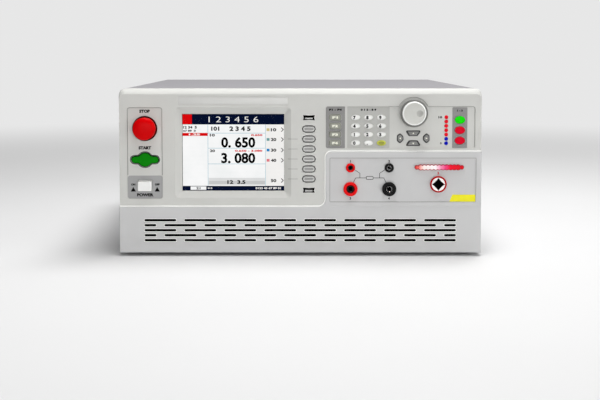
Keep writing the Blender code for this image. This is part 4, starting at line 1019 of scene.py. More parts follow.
# Painted shade: black inside the ports, the socket bores and the star mouth, where shade falls; also the
# strip behind the lamps.
HOLLOW_SHADE = Rubber("hollow_shade_black", shade(8, 8, 8), mirror=0.05)
PORT_TONGUE = Moulded("port_tongue", shade(236, 236, 234), grain=0.0004)
FAN_PLASTIC = Moulded("fan_plastic", shade(34, 34, 35))
INLET_PLASTIC = Moulded("inlet_plastic", shade(28, 28, 29))
FOOT_RUBBER = Rubber("foot_rubber", shade(30, 30, 30))
BOARD = Laminate("board_laminate", shade(16, 92, 44))
MODULE_BACK = Moulded("module_back", shade(38, 40, 43))
WINDOW = Clear("window_coated", shade(250, 252, 252))
BLACK_INK = Ink("black_ink", shade(14, 14, 14))
GREY_INK = Ink("grey_ink", shade(60, 60, 60))
CREAM_INK = Ink("cream_ink", shade(240, 240, 225))
RED_INK = Ink("red_ink", shade(196, 30, 34))
YELLOW_INK = Ink("yellow_ink", shade(240, 232, 52))
# Engraved lines between the soft keys, and also the painted shadow line round the wall of the terminal bay.
ENGRAVING_AND_SHADOW_LINE = Ink("engraving_and_shadow_line", shade(150, 150, 148))
SCREEN_WHITE = Glow("screen_white", shade(252, 252, 252))
SCREEN_NAVY = Glow("screen_navy", shade(6, 16, 44))
SCREEN_RED = Glow("screen_red", shade(220, 8, 12))
SCREEN_BLACK = Glow("screen_black", shade(2, 2, 2))
SCREEN_PALE = Glow("screen_pale", shade(246, 244, 242))
SCREEN_BLUE = Glow("screen_blue", shade(176, 206, 218))
SCREEN_MIST = Glow("screen_mist", shade(226, 226, 226))
SCREEN_GREY = Glow("screen_grey", shade(204, 204, 204))
SCREEN_SAND = Glow("screen_sand", shade(206, 190, 132))
SCREEN_SEA = Glow("screen_sea", shade(110, 160, 160))
SCREEN_SKY = Glow("screen_sky", shade(30, 130, 196))
SCREEN_ROSE = Glow("screen_rose", shade(226, 120, 130))


def dress(finish: Finish, *nodes: str) -> None:
    """Gives CAD nodes their finish.

    Args:
        finish: the finish.
        nodes: the nodes.
    """
    for node in nodes:
        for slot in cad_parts[node].material_slots:
            slot.material = finish.material()
    MADE.extend(nodes)


class Seat:
    """Where a node sits on the front, with its own size and that of its cap without the hidden flange."""

    def __init__(self, node: str, lap: float = KEY_LAP) -> None:
        """Measures a node whose flange reaches beyond its cap by the lap.

        Args:
            node: the node.
            lap: how far its flange reaches beyond its cap.
        """
        self.node = node
        low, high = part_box(node)
        self.left, self.right, self.face, self.back = low.x, high.x, low.y, high.y
        self.x, self.z = self.place = ((low.x + high.x) / 2, (low.z + high.z) / 2)
        self.width, self.height = high.x - low.x, high.z - low.z
        self.cap = (self.width - 2 * lap, self.height - 2 * lap)
        self.flange = [(FLANGE_BACK, -lap), (FLANGE_FRONT, -lap), (FLANGE_FRONT, 0.0)]

    def make(
        self, name: str, finishes: Sequence[Finish], slot: str, *bodies: tuple[Outline, list[Station], int]
    ) -> bpy.types.Object:
        """Makes the moving piece that stands for the node, out of closed bodies.

        Args:
            name: name of the piece.
            finishes: its finishes.
            slot: the record's slot that its finish comes from.
            bodies: outline, stations and number of the finish of each body.

        Returns:
            The new piece.
        """
        mesh = bmesh.new()
        for outline, stations, material in bodies:
            add_loft(mesh, outline, stations, self.place, material)
        return settle(name, mesh, finishes, slot, self.node, self.node)


class Turn(Enum):
    """Ways that an arrow points, with the angle of its tip."""

    RIGHT = 0
    UP = 90
    LEFT = 180
    DOWN = 270


def arrow_head(turn: Turn, size: float) -> bpy.types.Mesh:
    """Draws a triangle round the origin that points one way."""
    return filled([arc(HERE, size / 2, turn.value, turn.value + 240, 2)])


class Lens(Enum):
    """Colours of the lamps in the column."""

    RED = LAMP_RED
    BLUE = LAMP_BLUE


@dataclass
class Mouldings:
    """The two front mouldings: the bead along their split in a painted highlight, lines along the split,
    painted shadow lines at the walls of the recesses, the plate recess and the vents.
    """

    plate: tuple[float, float, float] = (0.1300, 0.0086, 0.1849)
    split_x: float = 0.0289
    corner: float = 0.008
    bead: float = 0.0018
    bead_shift: float = 0.0006
    bead_inset: float = 0.0008
    bead_span: Point = (FACE + 0.0006, FACE - 0.0013)
    foot_line: float = 0.0012
    foot_span: Point = (LOWER_FACE + 0.0002, LOWER_FACE - 0.0003)
    bay: Sides = (0.0354, 0.2080, 0.0652, 0.1169)
    bay_line: float = 0.0006
    switch_field: Sides = (-0.2050, -0.1632, 0.0965, 0.1771)
    key_field: Sides = (0.1040, 0.2070, 0.1274, 0.1785)
    field_corner: float = 0.003
    bulge: float = 0.0192
    field_line: float = 0.0008
    shadow_line_end: float = 0.022
    vent_rows: int = 5
    vent_count: int = 8
    vent_pitch: float = 0.0475
    vent_row_pitch: float = 0.006
    vent_middle: float = 0.031
    vent_length: float = 0.038
    vent_height: float = 0.003
    lip: float = 0.0006
    lip_rise: float = 0.0003
    shade_sheet: tuple[float, float, float] = (0.0007, 0.0035, 0.0045)

    def build(self) -> None:
        """Dresses the mouldings and makes what lies on them."""
        dress(UPPER_PLASTIC, "front_moulding_upper")
        dress(LOWER_PLASTIC, "front_moulding_lower")
        self.name_plate()
        self.split()
        # A painted shadow line round the wall of the terminal bay.
        outline, place = between(self.bay, 0.0008)
        loops = [outline(-self.bay_line), outline()]
        printed("bay_edge", ENGRAVING_AND_SHADOW_LINE, [(filled(loops), place)], LOWER_FACE)
        self.field_edges()
        self.vents()

    def name_plate(self) -> None:
        """Lays a bare plate in the recess above the screen."""
        width, height, rise = self.plate
        floor = FACE + FINE
        stations = [(floor, 0.0)] + edge(floor - FILM, 0.0, FILM / 2, 2)
        mesh = bmesh.new()
        add_loft(mesh, bar(width, height, FINE), stations, (Seat("display_window").x, rise))
        settle("name_plate", mesh, [PLATE_FILM], "moulding_grey")

    def split(self) -> None:
        """Runs the bead along the split, coloured as a painted highlight, and a fainter line along the foot
        of the terminal bay.
        """
        low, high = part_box("front_moulding_upper")
        left, right, foot = low.x + self.bead_inset, high.x - self.bead_inset, low.z
        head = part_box("front_moulding_lower")[1].z + FINE
        turn, out = self.corner, self.bead_shift
        path = [(left, foot - out)]
        path += arc((self.split_x - turn, foot + turn), turn + out, -90, 0, 10)
        path += arc((self.split_x + turn, head - turn), turn - out, 180, 90, 10)
        path.append((right, head - out))
        ridge("split_bead", PAINTED_HIGHLIGHT_PLASTIC, path, self.bead, self.bead_span)
        path = [(self.split_x + turn, foot - out), (right, foot - out)]
        ridge("bay_foot_line", LOWER_PLASTIC, path, self.foot_line, self.foot_span)

    def field_edges(self) -> None:
        """Runs a painted shadow line along the walls of the two recessed fields, with the bulge round the
        knob.
        """
        inset = self.field_line / 2
        turn, radius = self.field_corner, self.field_corner - inset
        span = (RECESS_FLOOR, RECESS_FLOOR - 2 * PRINT)
        left, right, low, high = self.switch_field
        path = [(left + inset, low)]
        path += arc((left + turn, high - turn), radius, 180, 90, 6)
        path += arc((right - turn, high - turn), radius, 90, 0, 6)
        path.append((right - inset, low))
        ridge("switch_field_edge", FIELD_SHADOW_LINE, path, self.field_line, span)
        left, right, low, high = self.key_field
        knob = Seat("rotary_knob")
        lean = math.degrees(math.asin((high - knob.z) / self.bulge))
        path = [(left, high - inset)]
        path += arc(knob.place, self.bulge - inset, 180 - lean, lean, 24)
        path += arc((right - turn, high - turn), radius, 90, 0, 6)
        path += arc((right - turn, low + turn), radius, 0, -90, 6)
        path.append((right - self.shadow_line_end, low + inset))
        ridge("key_field_edge", FIELD_SHADOW_LINE, path, self.field_line * 0.7, span)

    def vents(self) -> None:
        """Makes the fine raised lip round every vent, in the painted highlight, and a black sheet in the
        vents as painted shade.
        """
        field = (self.vent_count - 1) * self.vent_pitch + self.vent_length
        short = self.vent_length - self.vent_pitch / 2
        front, mesh, shade_sheet = LOWER_FACE, bmesh.new(), bmesh.new()
        tip, face, back = (front + depth for depth in self.shade_sheet)
        for row in range(self.vent_rows):
            z = self.vent_middle + self.vent_row_pitch * ((self.vent_rows - 1) / 2 - row)
            count = self.vent_count - row % 2
            middle = (count - 1) / 2
            slots = [(self.vent_pitch * (index - middle), self.vent_length) for index in range(count)]
            if row % 2:
                slots += [(side * (field - short) / 2, short) for side in (-1, 1)]
            for x, length in slots:
                hole = bar(length, self.vent_height, self.vent_height / 2 - SLIVER, 5)
                crest = (hole(-self.lip / 2), front - self.lip_rise)
                inside = [(hole(), front), (hole(), front + self.lip_rise)]
                add_tube(mesh, [(hole(-self.lip), front), crest, *inside], (x, z), 0)
                add_loft(shade_sheet, hole, [(face, PRINT), (tip, PRINT)], (x, z))
        settle("vent_lips", mesh, [PAINTED_HIGHLIGHT_PLASTIC], "lower_moulding_grey")
        sheet = bar(field + self.vent_height, self.vent_row_pitch * self.vent_rows, FINE)
        add_loft(shade_sheet, sheet, [(back, 0.0), (face, 0.0)], (0.0, self.vent_middle))
        settle("vent_shade_sheet", shade_sheet, [VENT_SHADE_SHEET], "port_black")


@dataclass
class SwitchColumn:
    """The stop, start and power buttons with their legends."""

    stop_step: float = 0.0013
    stop_dome: float = 0.0042
    stop_rows: int = 15
    stop_power: float = 1.25
    stop_foot: float = 0.0004
    stop_collar: float = 0.0006
    start_arm: float = 0.0086
    start_hub: float = 0.0172
    start_fillet: float = 0.003
    start_inset: float = 0.0009
    # how far the bright face sits low on the cap, which leaves the painted shadow along its top
    start_drop: float = 0.0004
    surround: tuple[float, float, float] = (0.0005, 0.0013, 0.0024)
    power_radius: float = 0.001
    power_edge: float = 0.0006
    film: tuple[float, float, float] = (0.0414, 0.0273, 0.0028)
    film_rise: float = 0.08235
    slot: tuple[float, float, float] = (0.0176, 0.0136, 0.0006)
    slot_rise: float = 0.0006
    word_height: float = 0.0034
    mark_shift: float = 0.0142
    mark_height: float = 0.0022
    mark_arrow: float = 0.0060
    mark_bar: tuple[float, float, float] = (0.0058, 0.0010, 0.0001)

    def build(self) -> None:
        """Makes the buttons, the film round the power button and the legends."""
        self.stop_button()
        self.start_button()
        self.power_button()
        self.legends()

    def stop_button(self) -> None:
        """Makes the domed stop button with its collar, dark red as painted shade in the gap."""
        seat = Seat("stop_button")
        radius = seat.cap[0] / 2 - self.stop_step
        dome = [(FACE - self.stop_foot, self.stop_step)]
        for step in range(self.stop_rows):
            angle = math.pi / 2 * step / (self.stop_rows + 0.5)
            y = seat.face + self.stop_dome * (1 - math.sin(angle)) ** self.stop_power
            dome.append((y, self.stop_step + radius * (1 - math.cos(angle))))
        outline, collar = disc(seat.cap[0], 96), seat.flange + edge(FACE - self.stop_collar, 0.0, 0.0003, 3)
        finishes = [STOP_RED, STOP_COLLAR_SHADE]
        seat.make("stop_cap", finishes, "stop_red", (outline, collar, 1), (outline, dome, 0))

    def start_button(self) -> None:
        """Makes the winged start button, which lies inside its opening, with a painted shadow along its top,
        and the rims round it: a painted shadow ring and a painted highlight ring.
        """
        seat = Seat("start_button")
        shape = winged(seat.cap[0], self.start_arm, self.start_hub, self.start_fillet)
        stations = seat.flange + edge(seat.face, 0.0, FINE)
        seat.make("start_cap", [START_EDGE_SHADE], "start_green", (shape, stations, 0))
        bright = (filled([shape(self.start_inset)]), (seat.x, seat.z - self.start_drop))
        printed("start_face", START_GREEN, [bright], seat.face, "start_green", "start_button")
        mesh = bmesh.new()
        inner, rim, outer = (grown(shape, reach) for reach in self.surround)
        add_ring(mesh, rim, inner, (RECESS_FLOOR - FILM, RECESS_FLOOR), seat.place, 1)
        add_ring(mesh, outer, rim, (RECESS_FLOOR - 0.0004, RECESS_FLOOR), seat.place, 0, 0.0002)
        settle("start_surround", mesh, [HIGHLIGHT_HALO, START_SHADOW], "moulding_grey")

    def power_button(self) -> None:
        """Makes the power cap and the film round its opening."""
        seat = Seat("power_button")
        stations = seat.flange + edge(seat.face, 0.0, self.power_edge)
        shape = bar(*seat.cap, self.power_radius)
        seat.make("power_cap", [POWER_WHITE], "power_white", (shape, stations, 0))
        around = moved(bar(*self.film), (seat.x, self.film_rise))
        slot = moved(bar(*self.slot), (seat.x, seat.z + self.slot_rise))
        printed("switch_film", SWITCH_FILM, [(filled([around, slot], FILM), HERE)], RECESS_FLOOR)

    def legends(self) -> None:
        """Prints the words at the buttons and the two marks beside the power cap."""
        x, z = Seat("power_button").place
        words = []
        for text, width, node, rise in (
            ("STOP", 0.0125, "stop_button", 0.0206),
            ("START", 0.0150, "start_button", 0.0141),
        ):
            words.append((lettering(text, self.word_height, width, 0.09), (x, Seat(node).z + rise)))
        printed("switch_legends", BLACK_INK, words, RECESS_FLOOR)
        marks = [(lettering("POWER", self.word_height, 0.0197, 0.08), (x, z - 0.0106))]
        for spot, text in ((x - self.mark_shift, "ON"), (x + self.mark_shift, "OFF")):
            marks.append((lettering(text, self.mark_height, 0.0, 0.10), (spot, z + 0.0018)))
            marks.append((arrow_head(Turn.UP, self.mark_arrow), (spot, z - 0.0042)))
            marks.append((filled([bar(*self.mark_bar)()]), (spot, z - 0.0062)))
        printed("power_legends", BLACK_INK, marks, RECESS_FLOOR - FILM)


@dataclass
class Screen:
    """The clear window, the module behind it and the plain picture that it shows."""

    left: float = -0.1401
    low: float = 0.0774
    wide: float = 0.1209
    tall: float = 0.0913
    layer: float = 0.00003
    rows: tuple[float, ...] = (0.797, 0.669, 0.530, 0.396, 0.130)
    mark_line: float = 0.0009
    mark_half: float = 0.024
    icon_half: float = 0.018

    def build(self) -> None:
        """Dresses the window and the module, and lights the picture."""
        dress(WINDOW, "display_window")
        dress(MODULE_BACK, "display_module")
        self.fields()
        self.readings()
        self.side_marks()

    def spot(self, x: float, z: float) -> Point:
        """Turns shares of the picture's width and height into a place on the front."""
        return self.left + self.wide * x, self.low + self.tall * z

    def tile(self, left: float, right: float, low: float, high: float) -> Flat:
        """Draws a rectangle of the picture, from shares of its width and height."""
        shape = bar(self.wide * (right - left), self.tall * (high - low), self.layer)
        return filled([shape()], self.layer), self.spot((left + right) / 2, (low + high) / 2)

    def word(
        self, text: str, x: float, z: float, height: float, width: float = 0.0, weight: float = 0.06
    ) -> Flat:
        """Draws a number of the picture.

        Args:
            text: what it says.
            x: its middle, as a share of the picture's width.
            z: its middle, as a share of the picture's height.
            height: height of its figures, as a share.
            width: its width, as a share, or 0 for its own.
            weight: how much its strokes are thickened.

        Returns:
            The flat mesh and its place.
        """
        return lettering(text, self.tall * height, self.wide * width, weight, self.layer), self.spot(x, z)

    def lay(self, name: str, finish: Finish, level: int, flats: Sequence[Flat]) -> None:
        """Lays parts of the picture on the module, over as many layers as the level says."""
        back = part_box("display_module")[0].y - self.layer * (level + 0.5)
        printed(f"picture_{name}", finish, flats, back, "module_black")

    def fields(self) -> None:
        """Lays the grounds and bars."""
        lines = [(0.25, 0.818, level, level + 0.007) for level in (0.748, 0.551, 0.345)]
        lines += [(left, left + 0.005, 0.059, 0.865) for left in (0.247, 0.814)]
        for name, finish, level, tiles in (
            ("ground", SCREEN_WHITE, 0, [(0, 1, 0, 1)]),
            ("bars", SCREEN_NAVY, 1, [(0, 1, 0.865, 1), (0, 1, 0, 0.059)]),
            ("side", SCREEN_PALE, 1, [(0.818, 1, 0.059, 0.865)]),
            ("lines", SCREEN_BLUE, 2, lines),
            ("progress_edge", SCREEN_MIST, 2, [(0.254, 0.812, 0.072, 0.082), (0.254, 0.812, 0.125, 0.165)]),
            ("progress", SCREEN_GREY, 2, [(0.254, 0.812, 0.082, 0.125)]),
            ("red", SCREEN_RED, 2, [(0.0, 0.248, 0.715, 0.755), (0.0, 0.092, 0.869, 0.997)]),
            ("box", SCREEN_WHITE, 2, [(0.076, 0.231, 0.008, 0.052)]),
        ):
            self.lay(name, finish, level, [self.tile(*sides) for sides in tiles])

    def readings(self) -> None:
        """Lays the two large readings and the small numbers."""
        readings = [
            ("0. 650", 0.548, 0.633, 0.128, 0.336, 0.05),
            ("3. 080", 0.548, 0.428, 0.128, 0.336, 0.05),
            ("12 34  5", 0.073, 0.829, 0.032, 0.135),
            ("67 89  0", 0.068, 0.783, 0.024, 0.125),
            ("101", 0.322, 0.811, 0.050, 0.080),
            ("2 3 4 5", 0.566, 0.811, 0.056, 0.208),
            ("10", 0.293, 0.726, 0.032, 0.050),
            ("20", 0.293, 0.521, 0.032, 0.050),
            ("12  3.5", 0.529, 0.111, 0.045, 0.180),
            ("21", 0.153, 0.030, 0.028, 0.040),
        ]
        limits = [("0.650", 0.731, 0.727, 0.024, 0.112), ("0.650 - 3.080", 0.651, 0.521, 0.024, 0.270)]
        small = [
            ("1 2 3 4 5 6", 0.502, 0.933, 0.078, 0.490, -0.01),
            ("1.25", 0.117, 0.735, 0.024, 0.110),
            ("0 0", 0.268, 0.030, 0.018, 0.045),
            ("0123 45 67 89 01", 0.843, 0.030, 0.024, 0.250),
        ]
        for name, finish, words in (
            ("readings", SCREEN_BLACK, readings),
            ("limits", SCREEN_RED, limits),
            ("small", SCREEN_PALE, small),
        ):
            self.lay(name, finish, 3, [self.word(*word) for word in words])

    def side_marks(self) -> None:
        """Lays the marks that stand beside the soft keys."""
        marks = []
        for index, row in enumerate(self.rows):
            marks.append(self.word(f"{index + 1}0", 0.896, row, 0.038, 0.054))
            for end in (row - self.mark_half, row + self.mark_half):
                ends = (self.spot(0.974, end), self.spot(0.992, row))
                marks.append(stroke(*ends, self.mark_line, self.layer))
        self.lay("marks", SCREEN_BLACK, 3, marks)
        for row, finish in zip(self.rows, (SCREEN_SAND, SCREEN_SEA, SCREEN_SKY, SCREEN_ROSE)):
            icon = self.tile(0.828, 0.857, row - self.icon_half, row + self.icon_half)
            self.lay(f"icon_{finish.name}", finish, 3, [icon])


@dataclass
class SoftKeys:
    """The six keys beside the screen, the two ports and the engraved lines."""

    count: int = 6
    rim: float = 0.0020
    dish: float = 0.0004
    play: float = 0.0003
    groove: float = 0.0011
    collar: float = 0.0009
    line: Point = (-0.0145, -0.0032)
    shell: float = 0.0005
    tongue: Point = (0.0090, 0.0014)
    tongue_drop: float = 0.0009
    port_waist: float = 0.0009

    def build(self) -> None:
        """Makes the keys, their collars, the lines and the ports."""
        lines = []
        for number in range(1, self.count + 1):
            z = self.key(number)
            lines.append(((self.line[0], z), (self.line[1], z), FINE))
        printed("soft_key_lines", ENGRAVING_AND_SHADOW_LINE, [stroke(*line) for line in lines[1:]], FACE)
        self.port("upper")
        self.port("lower")

    def key(self, number: int) -> float:
        """Makes a dished key with a darker bar and painted shade on its flange, and the collar round its
        groove with a painted highlight and painted shade.

        Args:
            number: which key, counted from the top.

        Returns:
            The key's height on the front.
        """
        node = f"soft_key_{number}"
        seat = Seat(node, SOFT_KEY_LAP)
        (width, height), face = seat.cap, seat.face
        shape = stadium(width, height)
        mesh = bmesh.new()
        stations = seat.flange + edge(face, 0.0, 0.0007)
        stations += [(face, self.rim), (face + self.dish * 0.7, self.rim + 0.0003)]
        stations += [(face + self.dish, self.rim + 0.0006)]
        faces = add_loft(mesh, shape, stations, seat.place)
        around = len(shape())
        for inner in faces[-2 * around - 2 :]:
            inner.material_index = 1
        # The flange and the side wall, seen through the groove, take painted shade.
        for hidden in [*faces[: 7 * around], faces[-2]]:
            hidden.material_index = 2
        settle(f"{node}_cap", mesh, [SOFT_RIM, SOFT_BAR, SOFT_KEY_GROOVE_SHADE], "soft_key_grey", node, node)
        mesh = bmesh.new()
        sizes = (self.play, self.groove - self.play / 2, self.groove, self.groove + self.collar)
        inner, lined, hole, ring = (stadium(width + 2 * reach, height + 2 * reach) for reach in sizes)
        # Painted highlight on the collar's outer ring, and painted shade lining the groove.
        add_ring(mesh, ring, hole, (FACE - 0.00035, FACE), seat.place, 0, 0.0003)
        add_ring(mesh, lined, inner, (FACE + 0.0004, FACE + 0.0014), seat.place, 1)
        settle(f"soft_key_collar_{number}", mesh, [HIGHLIGHT_HALO, SOFT_KEY_GROOVE_SHADE], "moulding_grey")
        return seat.z

    def port(self, which: str) -> None:
        """Makes a port: a shell in black painted shade with its tongue, behind a mouth with drawn corners on
        a bezel in a painted highlight.

        Args:
            which: which of the two ports.
        """
        node = f"usb_port_{which}"
        seat = Seat(node)
        width, height, low, high = seat.width, seat.height, seat.face, seat.back
        shell = bar(width, height, 0.0008)
        hole = bar(width - 2 * self.shell, height - 2 * self.shell, 0.0004)
        mesh = bmesh.new()
        add_ring(mesh, shell, hole, (low, high - 0.001), seat.place)
        add_loft(mesh, shell, [(high, 0.0), (high - 0.001, 0.0)], seat.place)
        stations = [(high - 0.0015, 0.0), (low + 0.0012, 0.0), (low + 0.0010, 0.0003)]
        add_loft(mesh, bar(*self.tongue, 0.0003), stations, (seat.x, seat.z - self.tongue_drop), 1)
        settle(f"{node}_shell", mesh, [HOLLOW_SHADE, PORT_TONGUE], "port_black", node=node)
        x, z = width / 2 - 0.0002, height / 2 - 0.0002
        side, head = x - self.port_waist, z - self.port_waist * 0.6
        half = [(x, -z), (side, 0.0), (x, z), (0.0, head)]
        mouth = half + [(-cx, -cz) for cx, cz in half]
        bezel = filled([bar(width + 0.0008, height + 0.0008, 0.0008)(), mouth], FILM)
        printed(f"{node}_bezel", HIGHLIGHT_HALO, [(bezel, seat.place)], FACE)


@dataclass
class KeyPads:
    """The function, number, arrow and result keys with the films round them."""

    function_radius: float = 0.0015
    function_film: Sides = (0.0303, 0.0529, 0.1287, 0.1782)
    number_film: Sides = (0.0556, 0.1057, 0.1289, 0.1782)
    result_film: Sides = (0.1799, 0.1977, 0.1289, 0.1772)
    film_play: float = 0.0006
    key_edge: float = 0.0006
    crown: Point = (0.0002, 0.0016)
    enter_pad: Point = (0.72, 0.66)
    taper: float = 0.555
    heading_height: float = 0.0021
    heading_drop: float = 0.0038
    number_height: float = 0.0038
    number_shift: float = -0.0015
    name_size: Point = (0.0026, 0.0068)
    arrow_size: float = 0.0026

    def build(self) -> None:
        """Makes the films and every key with its legend."""
        functions = [f"function_key_{number}" for number in range(1, 5)]
        numbers = [f"data_key_{number}" for number in range(1, 12)]
        results = [f"result_key_{number}" for number in range(1, 4)]
        headings = []
        for name, finish, sides, nodes, text, width in (
            ("function_film", DARK_FILM, self.function_film, functions, "F1 - F4", 0.0150),
            ("number_film", PALE_FILM, self.number_film, [*numbers, "enter_key"], "0 1 2 - 8 9", 0.0185),
            ("result_film", DARK_FILM, self.result_film, results, "1 - 3", 0.0066),
        ):
            outline, place = between(sides, 0.0008)
            loops = [moved(outline, place)]
            loops += [moved(self.outline(Seat(node), self.film_play), Seat(node).place) for node in nodes]
            printed(name, finish, [(filled(loops, FILM), HERE)], RECESS_FLOOR)
            heading = lettering(text, self.heading_height, width, 0.09)
            headings.append((heading, (place[0], sides[3] - self.heading_drop)))
        printed("key_headings", BLACK_INK, headings, RECESS_FLOOR - FILM)
        for node, text in zip(functions, ("F1", "F2", "F3", "F4")):
            self.key(node, FUNCTION_CAP, text, CREAM_INK, "function_key_grey")
        for node, text in zip(numbers, "7894561230."):
            self.key(node, DIGIT_CAP, text, BLACK_INK, "digit_key_white")
        self.enter_key()
        for turn in Turn:
            self.arrow_key(turn)
        for node, finish, slot in zip(
            results, (RESULT_GREEN, RESULT_RED, RESULT_RED), ("key_green", "key_red", "key_red")
        ):
            self.result_key(node, finish, slot)

    def outline(self, seat: Seat, grow: float = 0.0) -> Outline:
        """Draws the outline of a key that is no arrow, wider by the growth all round.

        Args:
            seat: where the key sits.
            grow: how much wider it is drawn all round.

        Returns:
            The outline.
        """
        width, height = (side + 2 * grow for side in seat.cap)
        if seat.node.startswith("function"):
            return bar(width, height, self.function_radius + grow)
        return oval(width, height)

    def key(self, node: str, finish: Finish, text: str, ink: Finish, slot: str) -> None:
        """Makes a flat key with a softly rounded edge and its number.

        Args:
            node: the key's node.
            finish: finish of the cap.
            text: what is printed on it.
            ink: finish of the print.
            slot: the record's slot.
        """
        seat = Seat(node)
        rise, inset = self.crown
        stations = seat.flange + edge(seat.face + rise, 0.0, self.key_edge) + [(seat.face, inset)]
        seat.make(f"{node}_cap", [finish], slot, (self.outline(seat), stations, 0))
        single = len(text) == 1
        size = (self.number_height, 0.0) if single else self.name_size
        spot = (seat.x + (self.number_shift if single else 0.0), seat.z)
        printed(f"{node}_number", ink, [(lettering(text, *size, 0.08), spot)], seat.face, slot, node)

    def enter_key(self) -> None:
        """Makes the yellow key with its darker middle."""
        seat = Seat("enter_key")
        width, height = seat.cap
        rim = (oval(width, height), seat.flange + edge(seat.face + 0.0001, 0.0, 0.0005), 0)
        pad = [(seat.face + 0.0004, 0.0)] + edge(seat.face, 0.0, 0.0001, 2)
        wide, tall = self.enter_pad
        bodies = (rim, (oval(width * wide, height * tall), pad, 1))
        seat.make("enter_key_cap", [ENTER_RIM, ENTER_CAP], "enter_key_yellow", *bodies)

    def arrow_key(self, turn: Turn) -> None:
        """Makes an arrow key: a dark edge round a raised pad with its arrow.

        Args:
            turn: the way that it points.
        """
        node = f"arrow_key_{turn.name.lower()}"
        seat = Seat(node)
        x, z = (side / 2 for side in seat.cap)
        if turn in (Turn.UP, Turn.DOWN):
            short, bend = self.taper * x, z / 3
            low, high = (short, x) if turn is Turn.UP else (x, short)
            corners = [(-low, -z, bend), (low, -z, bend), (high, z, bend), (-high, z, bend)]
        else:
            half = [(-x, -z * 0.5, 0.35 * x), (-x * 0.1, -z, 0.35 * x), (x, -z * 0.35, 0.7 * x)]
            corners = half + [(cx, -cz, bend) for cx, cz, bend in reversed(half)]
            if turn is Turn.RIGHT:
                corners = [(-cx, cz, bend) for cx, cz, bend in reversed(corners)]
        shape = rounded(corners)
        rim = seat.flange + edge(seat.face + 0.0003, 0.0, 0.0004)
        pad = [(seat.face + 0.0005, 0.0007)] + edge(seat.face, 0.0007, 0.0003, 4)
        finishes = [ARROW_CAP, ARROW_EDGE]
        seat.make(f"{node}_cap", finishes, "arrow_key_grey", (shape, rim, 1), (shape, pad, 0))
        head = (arrow_head(turn, self.arrow_size), seat.place)
        printed(f"{node}_arrow", CREAM_INK, [head], seat.face, "arrow_key_grey", node)

    def result_key(self, node: str, finish: Finish, slot: str) -> None:
        """Makes an oval lit key with a thin dark rim round its lens.

        Args:
            node: the key's node.
            finish: finish of its lens.
            slot: the record's slot.
        """
        seat = Seat(node)
        shape, face = oval(*seat.cap), seat.face
        rim = seat.flange + edge(face + 0.0004, 0.0, 0.0004)
        lens = [(face + 0.0006, 0.0003)] + edge(face + 0.0001, 0.0003, 0.0004) + [(face, 0.0026)]
        seat.make(f"{node}_cap", [finish, RESULT_RIM], slot, (shape, rim, 1), (shape, lens, 0))


@dataclass
class Knob:
    """The rotary knob with its skirt and finger dimple."""

    skirt_reach: float = 0.008
    cap_diameter: float = 0.028
    undercut: float = 0.0012
    clearance: float = 0.0003
    skirt_edge: float = 0.0014
    rim: float = 0.0015
    seam: Point = (0.0003, 0.0006)
    flat: Point = (0.0007, 0.0018)
    dimple: float = 0.0080
    dimple_offset: float = 0.0064
    dimple_depth: float = 0.0016
    shaft: float = 0.0064
    steps: int = 96

    def build(self) -> None:
        """Makes the skirt and the cap with its dimple."""
        seat = Seat("rotary_knob")
        back, bore = RECESS_FLOOR - self.clearance, (seat.width - self.shaft) / 2
        skirt = [(seat.back, bore), (back, bore), (back, self.undercut)]
        skirt += edge(FACE - self.skirt_reach, 0.0, self.skirt_edge)
        # The skirt's dark finish paints the shade in the well round the knob.
        mesh = bmesh.new()
        add_loft(mesh, disc(seat.width, self.steps), skirt, seat.place)
        settle("knob_skirt_shade", mesh, [KNOB_SKIRT_SHADE], "knob_grey", seat.node)
        mesh = bmesh.new()
        body = [(FACE - self.skirt_reach, 0.0)] + edge(seat.face, 0.0, self.rim)
        body += [(seat.face + drop, self.rim + inset) for drop, inset in (self.seam, self.flat)]
        faces = add_loft(mesh, disc(self.cap_diameter, self.steps), body, seat.place)
        # The rounded rim takes the near white rim finish, a painted highlight.
        for bright in faces[self.steps : -2 * self.steps - 2]:
            bright.material_index = 1
        cap = settle("knob_cap", mesh, [KNOB_CAP, KNOB_RIM_HIGHLIGHT], "knob_grey", seat.node, seat.node)
        self.carve(cap, seat.place, seat.face + self.flat[0])

    def carve(self, cap: bpy.types.Object, place: Point, face: float) -> None:
        """Cuts the round dimple into the cap.

        Args:
            cap: the knob's cap.
            place: its middle on the front.
            face: y of the flat that the dimple lies in.
        """
        depth = self.dimple_depth
        radius = (self.dimple**2 / 4 + depth**2) / (2 * depth)
        mesh = bmesh.new()
        bmesh.ops.create_uvsphere(mesh, u_segments=128, v_segments=96, radius=radius)
        centre = (place[0] + self.dimple_offset, face + depth - radius, place[1])
        bmesh.ops.translate(mesh, vec=centre, verts=mesh.verts)
        data = stored("dimple_cutter", mesh)
        data.materials.append(KNOB_DIMPLE.material())
        cutter = put("dimple_cutter", data)
        modifier = cap.modifiers.new("dimple", "BOOLEAN")
        modifier.solver = "EXACT"
        modifier.material_mode = "TRANSFER"
        modifier.object = cutter
        carved = evaluated(cap)
        cap.modifiers.clear()
        cap.data = carved
        bpy.data.objects.remove(cutter, do_unlink=True)
        smooth(carved)


